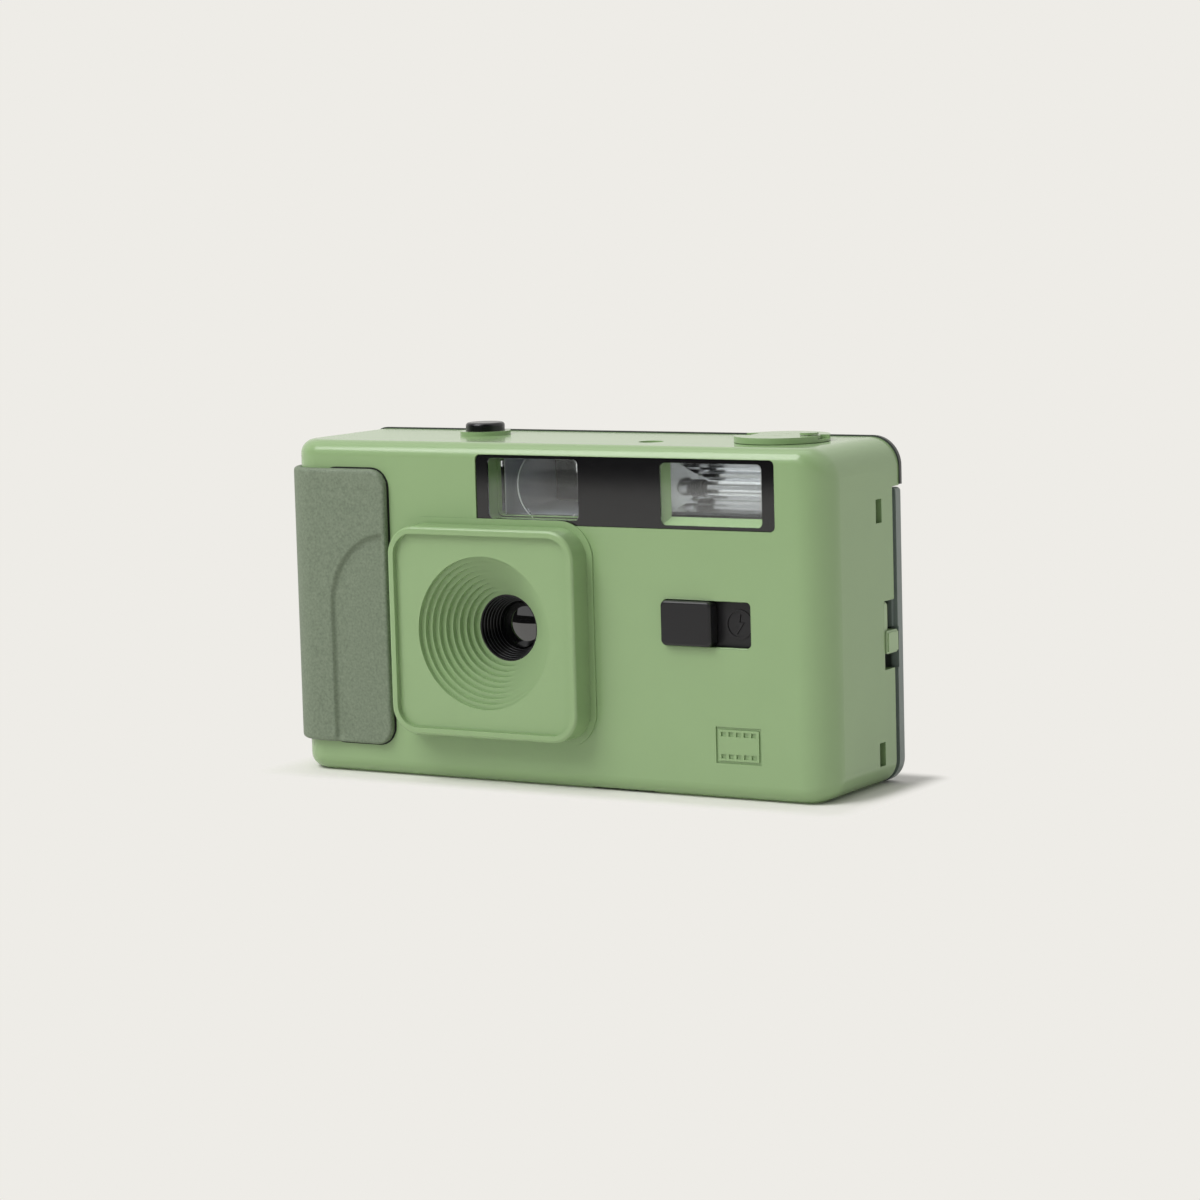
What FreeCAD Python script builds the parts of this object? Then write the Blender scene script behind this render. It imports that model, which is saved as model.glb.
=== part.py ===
# Compact 35 mm film camera, in millimetres.
# X runs from the grip (-) to the rewind side (+), Y from the front face to the back, Z up.
# The origin is the middle of the base. Depths in this file are counted from the front face.
import FreeCAD, Part
import Sketcher
import math
import os
import re

Vector = FreeCAD.Vector
Rotation = FreeCAD.Rotation
QUARTER_TURN = math.pi / 2
# closer than this, a point counts as lying on a face
TOUCH = 1e-4

# Driving dimensions: each is written once here and lives in the sheet under its alias.
SIZES = {
    "body_width": 114.0,
    "body_height": 63.0,
    "body_depth": 30.0,
    "wall": 1.5,
    "front_round": 2.8,
    "side_round": 6.0,
    "corner_top_right": 5.4,
    "corner_bottom_right": 4.5,
    "corner_top_left": 3.0,
    "corner_bottom_left": 4.0,
    "door_depth": 3.5,
    "rear_panel": 0.8,
    "door_drop": 9.0,
    "door_gap": 0.5,
    "rear_cover_lip": 1.6,
    "rear_proud": 0.25,
    "door_seam": 0.9,
    "door_step": 0.6,
    "rim_wall": 0.5,
    "seam": 0.2,
    "slip": 0.1,
    "bearing_gap": 0.06,
    # lens block and taking lens
    "lens_x": -11.8,
    "lens_drop": 34.6,
    "block_width": 40.6,
    "block_tall": 39.2,
    "flange_width": 1.2,
    "flange_height": 0.35,
    "block_height": 5.0,
    "block_corner": 5.6,
    "block_draft": 5.0,
    "lip_width": 1.5,
    "lip_height": 1.0,
    "recess_radius": 14.2,
    "recess_floor": 4.7,
    "recess_steps": 9,
    "barrel_radius": 6.2,
    "cup_radius": 15.2,
    "cup_lap": 0.8,
    "cup_neck": 2.0,
    "barrel_back": 12.0,
    "barrel_bore": 3.9,
    "lens_front": 8.0,
    "lens_thick": 2.0,
    "lens_curve": 7.5,
    "aperture_radius": 1.4,
    # window strip and viewfinder
    "strip_reach": 3.3,
    "strip_inset": 9.9,
    "strip_height": 12.7,
    "strip_drop": 2.0,
    "strip_corner": 1.0,
    "strip_sunk": 0.25,
    "strip_floor": 1.0,
    "finder_edge": 2.45,
    "finder_width": 19.45,
    "finder_sill": 0.9,
    "finder_head": 0.6,
    "finder_lens_curve": 60.0,
    "tunnel_depth": 2.4,
    "finder_depth": 4.0,
    "finder_lap": 0.6,
    "finder_thick": 1.6,
    "finder_waist": 0.9,
    "finder_wall": 0.2,
    "tunnel_wall": 0.8,
    "eyepiece_width": 8.6,
    "eyepiece_height": 4.8,
    "eyepiece_rise": 3.7,
    "eyepiece_lap": 0.6,
    "eyepiece_sunk": 0.5,
    # flash
    "flash_width": 20.6,
    "flash_edge": 2.6,
    "flash_sill": 0.65,
    "flash_head": 0.8,
    "flash_ledge": 1.4,
    "flash_cheek": 1.2,
    "reflector_depth": 6.5,
    "tube_radius": 1.3,
    "pane_gap": 0.2,
    "flash_pane_thick": 0.8,
    "tube_end": 1.0,
    "board_gap": 0.5,
    "switch_width": 18.2,
    "switch_inset": 15.0,
    "switch_height": 8.7,
    "switch_drop": 27.1,
    "switch_corner": 1.0,
    "switch_plate_thick": 0.8,
    "knob_width": 10.3,
    "knob_proud": 1.3,
    "knob_gap": 0.3,
    "symbol_radius": 2.7,
    "symbol_line": 0.4,
    "symbol_rise": 0.1,
    "switch_lap": 1.2,
    "board_thick": 1.2,
    "capacitor_radius": 3.9,
    "capacitor_room": 2.6,
    "coil_radius": 1.6,
    "lamp_radius": 1.5,
    "lamp_offset": 3.9,
    "lamp_drop": 5.2,
    "lamp_length": 4.0,
    "lamp_sunk": 0.4,
    # grip
    "grip_width": 22.4,
    "grip_base": 5.8,
    "grip_drop": 5.1,
    "grip_skin": 1.5,
    "grip_setback": 9.0,
    "grip_corner": 3.6,
    "scoop_width": 12.9,
    "scoop_drop": 11.9,
    "scoop_rise": 19.0,
    "grip_edge": 0.7,
    "scoop_depth": 0.5,
    # film chambers and gate
    "cassette_inset": 16.6,
    "cassette_radius": 12.75,
    "chamber_wall": 0.8,
    "chamber_base": 2.4,
    "chamber_foot": 0.4,
    "chamber_drop": 13.4,
    "chamber_lid": 0.9,
    "take_up_setback": 14.4,
    "take_up_clear": 2.75,
    "take_up_floor": 6.0,
    "gate_width": 36.0,
    "gate_height": 24.0,
    "gate_plate": 1.0,
    "rail_height": 0.7,
    "rail_width": 1.2,
    "light_box_front": 13.5,
    "light_box_wall": 0.8,
    "light_hole": 5.2,
    "gate_low_edge": 14.0,
    # transport
    "film_room": 4.6,
    "flange_clear": 1.5,
    "spool_journal": 2.2,
    "sprocket_reach": 1.2,
    "sprocket_setback": 10.2,
    "sprocket_radius": 5.6,
    "sprocket_tooth": 0.8,
    "sprocket_teeth": 8,
    "perforation_rise": 14.0,
    "sprocket_thick": 2.8,
    "sprocket_shaft": 1.0,
    "gear_rise": 3.4,
    "gear_thick": 1.2,
    "thumb_offset": 4.3,
    "thumb_setback": 7.4,
    "thumb_radius": 8.4,
    "thumb_rise": 1.5,
    "thumb_thick": 3.8,
    "thumb_gear": 4.6,
    "thumb_post": 1.2,
    "thumb_notches": 36,
    "thumb_notch": 0.35,
    "gear_teeth": 14,
    "sprocket_gear_teeth": 26,
    "gear_notch": 0.4,
    "counter_inset": 5.1,
    "counter_setback": 5.0,
    "counter_radius": 2.9,
    "counter_rise": 1.3,
    "counter_height": 5.0,
    "post_radius": 0.9,
    # shutter and its button
    "lever_arm": 7.2,
    "button_setback": 11.0,
    "button_radius": 3.7,
    "button_rise": 1.6,
    "collar_radius": 4.8,
    "collar_rise": 0.8,
    "button_travel": 1.0,
    "cap_height": 3.5,
    "cap_edge": 0.6,
    "well_plate": 0.6,
    "foot_half": 1.0,
    "foot_gap": 0.2,
    "stem_radius": 1.5,
    "well_depth": 5.4,
    "lever_clear": 4.85,
    "lever_drop": 9.5,
    "lever_reach": 1.1,
    "lever_thick": 0.8,
    "blade_rise": 8.2,
    "blade_radius": 2.6,
    "blade_thick": 0.3,
    "plate_drop": 11.4,
    "plate_rise": 13.6,
    "plate_margin": 8.8,
    "plate_foot": 2.0,
    "blade_pin": 0.6,
    "blade_gap": 0.25,
    "blade_arm": 1.0,
    "blade_tail": 5.0,
    "arm_half": 0.6,
    "pad_half": 0.9,
    "spring_wire": 0.4,
    "spring_turns": 5,
    # rewind
    "rewind_disc_radius": 8.7,
    "rewind_disc_thick": 1.1,
    "rewind_shaft": 2.4,
    "fork_reach": 4.0,
    "fork_blade": 1.0,
    "crank_width": 4.2,
    "crank_thick": 0.6,
    "crank_reach": 13.2,
    "crank_pivot": 5.6,
    "crank_pin": 0.18,
    "crank_knob_radius": 1.7,
    "crank_knob_height": 0.4,
    "release_radius": 2.2,
    "release_length": 3.6,
    # back door
    "door_plate": 1.2,
    "door_rim": 1.3,
    "door_corner": 0.8,
    "door_round": 0.8,
    "knuckle_radius": 1.6,
    "pin_radius": 0.65,
    "ear_base": 2.0,
    "ear_length": 4.0,
    "ear_gap": 0.2,
    "plate_width": 44.0,
    "plate_height": 30.8,
    "plate_thick": 0.9,
    "leaf_width": 10.0,
    "leaf_thick": 0.25,
    "leaf_chord": 30.0,
    "window_width": 8.0,
    "window_height": 26.0,
    "pane_thick": 0.8,
    # latch
    "latch_setback": 7.5,
    "latch_slot_drop": 7.0,
    "latch_slot_length": 12.5,
    "latch_tab_rise": 2.8,
    "latch_tab_height": 4.3,
    "latch_tab_proud": 0.5,
    "latch_travel": 2.6,
    "latch_plate": 1.2,
    "latch_stem_sunk": 0.4,
    # battery
    "battery_clear": 7.8,
    "battery_y": 8.3,
    "battery_radius": 5.2,
    "battery_headroom": 2.0,
    "battery_base": 3.1,
    "battery_sleeve": 5.5,
    "battery_door_half": 6.6,
    "battery_door_thick": 1.1,
    "hatch_sunk": 0.3,
    "hatch_pin": 0.3,
    # small features
    "snap_setback": 10.2,
    "snap_width": 2.3,
    "snap_height": 4.3,
    "snap_low": 4.1,
    "snap_drop": 14.8,
    "dimple_x": 16.4,
    "dimple_y": 10.5,
    "dimple_radius": 2.3,
    "dimple_depth": 0.4,
    "mark_inset": 18.1,
    "mark_z": 9.9,
    "mark_width": 9.2,
    "mark_height": 6.6,
    "mark_line": 0.5,
    "mark_depth": 0.3,
    "screw_right_clear": 18.7,
    "screw_left_clear": 9.2,
    "screw_low": 4.6,
    "screw_drop": 4.6,
    "screw_middle": 8.5,
    "screw_radius": 0.9,
    "screw_head": 1.7,
    "screw_head_thick": 1.0,
    "boss_radius": 2.3,
    "boss_reach": 6.0,
    "boss_wall": 0.5,
    "screw_grip": 6.0,
    "screw_seat": 2.0,
    "screw_slot": 0.5,
    "screw_slot_floor": 0.4,
}

# Levels, depths and places that follow from the driving dimensions, in the order they are worked out.
FOLLOWING = {
    # the back edges of the shell
    "shell_back": "body_depth - door_depth",
    "top_shell_back": "body_depth - rear_panel",
    "door_top": "body_height - door_drop",
    "rear_cover_base": "door_top + door_gap",
    # window strip, viewfinder and flash windows
    "lens_z": "body_height - lens_drop",
    "strip_top": "body_height - strip_drop",
    "strip_base": "strip_top - strip_height",
    "strip_left": "lens_x - strip_reach",
    "strip_right": "body_width / 2 - strip_inset",
    "finder_left": "strip_left + finder_edge",
    "finder_right": "finder_left + finder_width",
    "finder_base": "strip_base + finder_sill",
    "finder_top": "strip_top - finder_head",
    "flash_right": "strip_right - flash_edge",
    "flash_left": "flash_right - flash_width",
    "flash_base": "strip_base + flash_sill",
    "flash_top": "strip_top - flash_head",
    "lamp_x": "flash_left - lamp_offset",
    "lamp_level": "body_height - lamp_drop",
    "capacitor_length": "shell_back - tunnel_depth - reflector_depth - capacitor_room",
    # flash switch, marks and small features
    "switch_right": "body_width / 2 - switch_inset",
    "switch_left": "switch_right - switch_width",
    "switch_top": "body_height - switch_drop",
    "switch_base": "switch_top - switch_height",
    "mark_x": "body_width / 2 - mark_inset",
    "snap_front": "body_depth - snap_setback",
    "snap_back": "snap_front + snap_width",
    "snap_high": "body_height - snap_drop",
    # grip
    "grip_right": "grip_width - body_width / 2",
    "grip_top": "body_height - grip_drop",
    "grip_back": "body_depth - grip_setback",
    "scoop_left": "grip_right - scoop_width",
    "scoop_top": "grip_top - scoop_drop",
    "scoop_turn": "scoop_top - scoop_rise",
    # film chambers and gate
    "film_plane": "shell_back - slip",
    "finder_tube_back": "film_plane - slip",
    "cassette_x": "body_width / 2 - cassette_inset",
    "chamber_top": "body_height - chamber_drop",
    "take_up_radius": "(body_width / 2 - wall + lens_x - gate_width / 2) / 2 - take_up_clear",
    "take_up_x": "take_up_radius + chamber_wall + slip + wall - body_width / 2",
    "take_up_y": "body_depth - take_up_setback",
    # transport
    "spool_core": "take_up_radius - film_room",
    "spool_flange": "take_up_radius - flange_clear",
    "sprocket_x": "lens_x - gate_width / 2 + sprocket_reach",
    "sprocket_y": "body_depth - sprocket_setback",
    "sprocket_base": "lens_z + perforation_rise",
    "gear_base": "chamber_top + chamber_lid + gear_rise",
    "thumb_x": "take_up_x + thumb_offset",
    "thumb_y": "body_depth - thumb_setback",
    "thumb_base": "gear_base + thumb_rise",
    "counter_x": "counter_inset - body_width / 2",
    "counter_y": "body_depth - counter_setback",
    "counter_base": "gear_base + counter_rise",
    # shutter and its button
    "lever_x": "finder_left - lever_clear",
    "lever_z": "body_height - lever_drop",
    "lever_front": "barrel_back - lever_reach",
    "button_x": "lever_x - lever_arm",
    "button_y": "body_depth - button_setback",
    "well_floor": "body_height - well_depth",
    "blade_z": "lens_z + blade_rise",
    "plate_low": "lens_z - plate_drop",
    "plate_high": "lens_z + plate_rise",
    # latch, battery and screws
    "latch_slot_front": "body_depth - latch_setback",
    "latch_slot_base": "lens_z - latch_slot_drop",
    "latch_slot_top": "latch_slot_base + latch_slot_length",
    "latch_tab_base": "latch_slot_base + latch_tab_rise",
    "battery_x": "lens_x + gate_width / 2 + battery_clear",
    "battery_length": "chamber_top - battery_base - battery_headroom",
    "screw_right": "cassette_x - screw_right_clear",
    "screw_left": "lens_x - screw_left_clear",
    "screw_high": "chamber_top - screw_drop",
}

doc = FreeCAD.newDocument("camera")
sheet = doc.addObject("Spreadsheet::Sheet", "dim")
for row, (alias, size) in enumerate({**SIZES, **FOLLOWING}.items(), start=1):
    sheet.set("A%d" % row, alias.replace("_", " "))
    sheet.setAlias("B%d" % row, alias)
    sheet.set("B%d" % row, "=%s" % size)
doc.recompute()

ALIAS = re.compile(r"[a-z][a-z_]*[a-z]")
ALIASES = set(SIZES) | set(FOLLOWING)
nodes = {}


def bound(text):
    """The same formula, with every alias pointed at the sheet."""
    return ALIAS.sub(lambda word: "dim." + word.group() if word.group() in ALIASES else word.group(), text)


def deep(text):
    """A depth counted from the front face, as a Y position."""
    return "(" + text + ") - body_depth / 2"


def value(text):
    """The number that a formula gives now."""
    result = sheet.evalExpression(bound(text))
    return float(getattr(result, "Value", result))


def drive(item, name, text):
    item.setExpression(name, bound(text))


def place(item, x, y, z, turn=None):
    """Set the position by formulas, with a fixed turn where one is given."""
    if turn is not None:
        item.Placement = FreeCAD.Placement(Vector(), turn)
    for axis, text in zip("xyz", (x, y, z)):
        drive(item, "Placement.Base." + axis, text)


ALONG_Y = Rotation(Vector(1, 0, 0), -90)
ALONG_X = Rotation(Vector(0, 1, 0), 90)
UPRIGHT = Rotation(Vector(1, 0, 0), 90)


def box(label, x0, x1, y0, y1, z0, z1):
    """A box between two X, two depths and two Z."""
    item = doc.addObject("Part::Box", label)
    item.Label = label
    drive(item, "Length", "(%s) - (%s)" % (x1, x0))
    drive(item, "Width", "(%s) - (%s)" % (y1, y0))
    drive(item, "Height", "(%s) - (%s)" % (z1, z0))
    place(item, x0, deep(y0), z0)
    return item


def rod_z(label, x, y, z0, z1, radius, top_radius=None):
    """An upright cylinder, or a cone where it has a second radius."""
    kind = "Part::Cylinder" if top_radius is None else "Part::Cone"
    item = doc.addObject(kind, label)
    item.Label = label
    if top_radius is None:
        drive(item, "Radius", radius)
    else:
        drive(item, "Radius1", radius)
        drive(item, "Radius2", top_radius)
    drive(item, "Height", "(%s) - (%s)" % (z1, z0))
    place(item, x, deep(y), z0)
    return item


def rod_y(label, x, z, y0, y1, radius, back_radius=None):
    """A cylinder or cone that runs front to back."""
    item = rod_z(label, x, y0, y0, y1, radius, back_radius)
    place(item, x, deep(y0), z, ALONG_Y)
    return item


def rod_x(label, y, z, x0, x1, radius):
    """A cylinder that runs left to right."""
    item = rod_z(label, x0, y, x0, x1, radius)
    place(item, x0, deep(y), z, ALONG_X)
    return item


def fuse(label, pieces):
    item = doc.addObject("Part::MultiFuse", label)
    item.Label = label
    item.Shapes = pieces
    item.Refine = True
    return item


def cut(label, base, tools):
    item = doc.addObject("Part::Cut", label)
    item.Label = label
    item.Base = base
    item.Tool = tools[0] if len(tools) == 1 else fuse(label + "_cutters", tools)
    item.Refine = True
    return item


def common(label, base, tool):
    item = doc.addObject("Part::Common", label)
    item.Label = label
    item.Base = base
    item.Tool = tool
    return item


def node(item):
    """Keep this object as a sub-part of its own."""
    nodes[item.Label] = item
    return item


def tie(sketch, kind, members, text):
    """A dimension of the sketch that follows a formula."""
    index = sketch.addConstraint(Sketcher.Constraint(kind, *members, value(text)))
    drive(sketch, "Constraints[%d]" % index, text)


def draw_round_rectangle(sketch, left, right, low, high, radii):
    """A rectangle with its own radius at each corner, or "0", from the low left one, against the clock."""
    x0, x1, y0, y1 = (value(text) for text in (left, right, low, high))
    corners = (Vector(x0, y0, 0), Vector(x1, y0, 0), Vector(x1, y1, 0), Vector(x0, y1, 0))
    along = (Vector(1, 0, 0), Vector(0, 1, 0), Vector(-1, 0, 0), Vector(0, -1, 0))
    sizes = [value(text) for text in radii]
    for index in range(4):
        after = (index + 1) % 4
        start = corners[index] + along[index] * sizes[index]
        end = corners[after] - along[index] * sizes[after]
        sketch.addGeometry(Part.LineSegment(start, end))
        sketch.addConstraint(Sketcher.Constraint("Vertical" if index % 2 else "Horizontal", index))
    for index, size in enumerate(sizes):
        before = (index + 3) % 4
        if radii[index] == "0":
            sketch.addConstraint(Sketcher.Constraint("Coincident", before, 2, index, 1))
            continue
        centre = corners[index] + (along[index] - along[before]) * size
        circle = Part.Circle(centre, Vector(0, 0, 1), size)
        start = circle.parameter(corners[index] - along[before] * size)
        arc = sketch.addGeometry(Part.ArcOfCircle(circle, start, start + QUARTER_TURN))
        sketch.addConstraint(Sketcher.Constraint("Tangent", before, 2, arc, 1))
        sketch.addConstraint(Sketcher.Constraint("Tangent", arc, 2, index, 1))
        tie(sketch, "Radius", (arc,), radii[index])
    tie(sketch, "DistanceX", (-1, 1, 3, 1), left)
    tie(sketch, "DistanceX", (-1, 1, 1, 1), right)
    tie(sketch, "DistanceY", (-1, 1, 0, 1), low)
    tie(sketch, "DistanceY", (-1, 1, 2, 1), high)


def slab_y(label, y0, y1, left, right, low, high, radii):
    """A rounded rectangle in the front view, made solid between two depths."""
    sketch = doc.addObject("Sketcher::SketchObject", label + "_outline")
    place(sketch, "0", deep(y1), "0", UPRIGHT)
    draw_round_rectangle(sketch, left, right, low, high, radii)
    item = doc.addObject("Part::Extrusion", label)
    item.Label = label
    item.Base = sketch
    item.DirMode = "Normal"
    item.Solid = True
    drive(item, "LengthFwd", "(%s) - (%s)" % (y1, y0))
    return item


def plane_of(body, role):
    return next(item for item in body.Origin.OriginFeatures if item.Role == role)


def body_sketch(body, role, offset):
    """A sketch on one of the body's own planes, moved along its normal by a formula."""
    sketch = body.newObject("Sketcher::SketchObject", body.Name + "_sketch")
    sketch.AttachmentSupport = [(plane_of(body, role), "")]
    sketch.MapMode = "FlatFace"
    drive(sketch, "AttachmentOffset.Base.z", offset)
    return sketch


def edges_of(shape, test):
    """Names of the edges whose every point passes the test."""
    names = []
    for index, edge in enumerate(shape.Edges, start=1):
        points = edge.discretize(5)
        if all(test(point) for point in points):
            names.append("Edge%d" % index)
    return names


def body_fillet(body, feature, names, radius):
    item = body.newObject("PartDesign::Fillet", body.Name + "_round")
    item.Base = (feature, names)
    drive(item, "Radius", radius)
    return item


# Formulas that several pieces share.
HALF = "body_width / 2"
SHELL_RADII = ("corner_bottom_left", "corner_bottom_right", "corner_top_right", "corner_top_left")


SCREWS = (("screw_right", "screw_low"), ("screw_right", "screw_high"), ("screw_left", "screw_middle"))
CASSETTE_DEPTH = "(body_depth - door_plate - cassette_radius)"
INSIDE = "(body_width / 2 - wall)"
EYE_X = "(finder_left + finder_right) / 2"
EYE_Z = "(rear_cover_base + eyepiece_rise)"
FLASH_LOW = "(chamber_top + chamber_lid + pane_gap)"
FLASH_MIDDLE = "((flash_base + flash_ledge + flash_top) / 2)"
FLASH_BACK = "(tunnel_depth + flash_pane_thick)"
SWITCH_TRAVEL = "(switch_right - switch_left - 2 * knob_gap - knob_width)"
CHAMBER_LID_TOP = "(chamber_top + chamber_lid)"
GATE_BACK = "(film_plane - rail_height)"
TAKE_UP_LOW = "(take_up_floor - 2.5)"
FOOT_LOW = "(well_floor - button_travel - foot_gap)"
HINGE_X = "(-body_width / 2 + knuckle_radius)"
HINGE_DEPTH = "(body_depth - knuckle_radius)"
DOOR_FRONT = "(shell_back + seam)"
DOOR_EDGE = "(shell_back + door_seam)"
DOOR_INSIDE = "(body_depth - door_plate)"
EAR_REACH = "(ear_base + ear_length + ear_gap)"
LATCH_IN = "(body_width / 2 - wall - seam - latch_plate)"
NOSE_LOW = "(latch_slot_top + 0.5)"
NOSE_TOP = "(latch_slot_top + 2.1)"
BOSS_END = "light_box_front + boss_reach"


def round_edges(label, base, radius_at):
    """Round the edges that have a radius at both ends; it may change from one end to the other."""
    doc.recompute()
    rows = []
    for index, edge in enumerate(base.Shape.Edges, start=1):
        ends = [radius_at(edge, vertex.Point) for vertex in edge.Vertexes]
        if all(ends):
            rows.append((index, *ends))
    item = doc.addObject("Part::Fillet", label)
    item.Label = label
    item.Base = base
    item.Edges = rows
    return item


def make_shell_form(label, inset="0"):
    """The body's rounded block: the upright front edges are rounded first, then those of top and base."""
    block = box(label + "_block", "%s - %s" % (inset, HALF), "%s - %s" % (HALF, inset), inset, "body_depth",
                inset, "body_height - " + inset)
    doc.recompute()
    limits = block.Shape.BoundBox
    radii = {name: value("%s - %s" % (name, inset)) for name in SHELL_RADII + ("side_round", "front_round")}

    def upright_radius(edge, point):
        upright = abs(edge.tangentAt(edge.FirstParameter).z) > 0.5
        return radii["side_round"] if upright and abs(point.y - limits.YMin) < TOUCH else 0

    def rim_radius(edge, point):
        middle = edge.valueAt((edge.FirstParameter + edge.LastParameter) / 2)
        if min(abs(middle.z - limits.ZMin), abs(middle.z - limits.ZMax)) > TOUCH:
            return 0
        if abs(middle.y - limits.YMax) < TOUCH:
            return 0
        level = "top" if abs(point.z - limits.ZMax) < TOUCH else "bottom"
        if abs(point.x - limits.XMin) < TOUCH:
            return radii["corner_%s_left" % level]
        if abs(point.x - limits.XMax) < TOUCH:
            return radii["corner_%s_right" % level]
        return radii["front_round"]

    return round_edges(label, round_edges(label + "_sides", block, upright_radius), rim_radius)


def make_tunnel(label, left, right, low, high, back):
    """The green frame behind a window of the strip."""
    return slab_y(label + "_frame", "strip_floor", back, "%s - tunnel_wall" % left, "%s + tunnel_wall" % right,
                  "%s - tunnel_wall" % low, "%s + tunnel_wall" % high, ("tunnel_wall",) * 4)


def make_flash_slope():
    """The cut behind the flash window, narrowing on its lower and left sides."""
    item = doc.addObject("Part::Wedge", "flash_slope")
    item.Label = "flash_slope"
    limits = {
        "Xmin": "flash_left", "Xmax": "flash_right", "Zmin": "flash_base", "Zmax": "flash_top",
        "X2min": "flash_left + flash_cheek", "X2max": "flash_right",
        "Z2min": "flash_base + flash_ledge", "Z2max": "flash_top",
        "Ymin": deep("strip_floor"), "Ymax": deep("tunnel_depth"),
    }
    for name, text in limits.items():
        drive(item, name, text)
    return item


def make_mark_cutters():
    """A plain film frame: a ring line with a row of small squares above and below."""
    ring = cut("mark_ring",
               box("mark_outer", "mark_x - mark_width / 2", "mark_x + mark_width / 2", "-1", "mark_depth",
                   "mark_z - mark_height / 2", "mark_z + mark_height / 2"),
               [box("mark_inner", "mark_x - mark_width / 2 + mark_line", "mark_x + mark_width / 2 - mark_line",
                    "-2", "mark_depth + 1", "mark_z - mark_height / 2 + mark_line",
                    "mark_z + mark_height / 2 - mark_line")])
    squares = []
    for column in range(5):
        middle = "mark_x + mark_width * %g / 6" % (column - 2)
        for side in (-1, 1):
            level = "mark_z + %d * (mark_height / 2 - 2.6 * mark_line)" % side
            squares.append(box("mark_square_%d_%d" % (column, side), middle + " - mark_line",
                               middle + " + mark_line", "-1", "mark_depth",
                               level + " - mark_line * 0.8", level + " + mark_line * 0.8"))
    return [ring] + squares


def make_front_cover():
    form = make_shell_form("shell_form")
    cavity = make_shell_form("shell_cavity", "wall")
    low_back = box("shell_low_back", "-body_width", "body_width", "shell_back", "body_depth + 10",
                   "-10", "rear_cover_base - seam")
    top_back = box("shell_top_back", "-body_width", "body_width", "top_shell_back", "body_depth + 10",
                   "-10", "body_height + 10")
    shell = cut("shell_hollow", form, [cavity, low_back, top_back])
    well = rod_z("button_well", "button_x", "button_y", "well_floor", "body_height - wall / 2", "collar_radius")
    collar = rod_z("button_collar", "button_x", "button_y", "body_height - wall / 2",
                   "body_height + collar_rise", "collar_radius")
    frames = [
        make_tunnel("finder_tunnel", "finder_left", "finder_right", "finder_base", "finder_top",
                    "finder_depth"),
        make_tunnel("flash_tunnel", "flash_left", "flash_right", "flash_base", "flash_top", "tunnel_depth"),
    ]
    bosses = [rod_y("screw_boss_%d" % index, x, z, "wall / 2", BOSS_END, "boss_radius")
              for index, (x, z) in enumerate(SCREWS)]
    solid = fuse("shell_with_bosses", [shell, well, collar] + frames + bosses)

    tools = [
        slab_y("strip_pocket", "-5", "strip_floor", "strip_left", "strip_right", "strip_base", "strip_top",
               ("strip_corner",) * 4),
        slab_y("finder_opening", "0", "finder_depth + 1", "finder_left", "finder_right", "finder_base",
               "finder_top", ("strip_corner",) * 4),
        slab_y("flash_opening", "0", "tunnel_depth + 1", "flash_left + flash_cheek", "flash_right",
               "flash_base + flash_ledge", "flash_top", ("strip_corner / 2",) * 4),
        make_flash_slope(),
        rod_y("lens_opening", "lens_x", "lens_z", "-5", "wall + 5", "cup_radius + seam"),
        slab_y("switch_opening", "-5", "wall + 1", "switch_left", "switch_right", "switch_base", "switch_top",
               ("switch_corner",) * 4),
        rod_z("button_hole", "button_x", "button_y", "well_floor + well_plate", "body_height + 5",
              "button_radius + slip"),
        rod_z("stem_hole", "button_x", "button_y", "well_floor - 1", "body_height", "stem_radius + slip"),
        rod_z("rewind_hole", "cassette_x", CASSETTE_DEPTH, "body_height - wall - 1", "body_height + 5",
              "rewind_shaft + bearing_gap"),
        rod_z("release_hole", "sprocket_x", "sprocket_y", "-5", "wall + 1", "release_radius + slip"),
        rod_z("dimple", "dimple_x", "dimple_y", "body_height - dimple_depth", "body_height + 5",
              "dimple_radius"),
        box("latch_slot", HALF + " - wall - 1", HALF + " + 5", "latch_slot_front", "body_depth + 5",
            "latch_slot_base", "latch_slot_top"),
        box("snap_low_slot", HALF + " - wall - 1", HALF + " + 5", "snap_front", "snap_back",
            "snap_low", "snap_low + snap_height"),
        box("snap_high_slot", HALF + " - wall - 1", HALF + " + 5", "snap_front", "snap_back",
            "snap_high", "snap_high + snap_height"),
        box("battery_hatch", "battery_x - battery_door_half - seam", "battery_x + battery_door_half + seam",
            "battery_y - battery_door_half - seam", "battery_y + battery_door_half + seam", "-5", "wall + 1"),
    ]
    tools.append(rod_x("hatch_pin_hole", "battery_y + battery_door_half - battery_door_thick / 2",
                       "hatch_sunk + battery_door_thick / 2", "battery_x - battery_door_half - 1.1",
                       "battery_x + battery_door_half + 1.1", "hatch_pin + bearing_gap"))
    tools += make_mark_cutters()
    tools += [rod_y("screw_pilot_%d" % index, x, z, "wall * 2", "body_depth", "screw_radius - slip")
              for index, (x, z) in enumerate(SCREWS)]
    return node(cut("front_cover", solid, tools))


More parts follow.
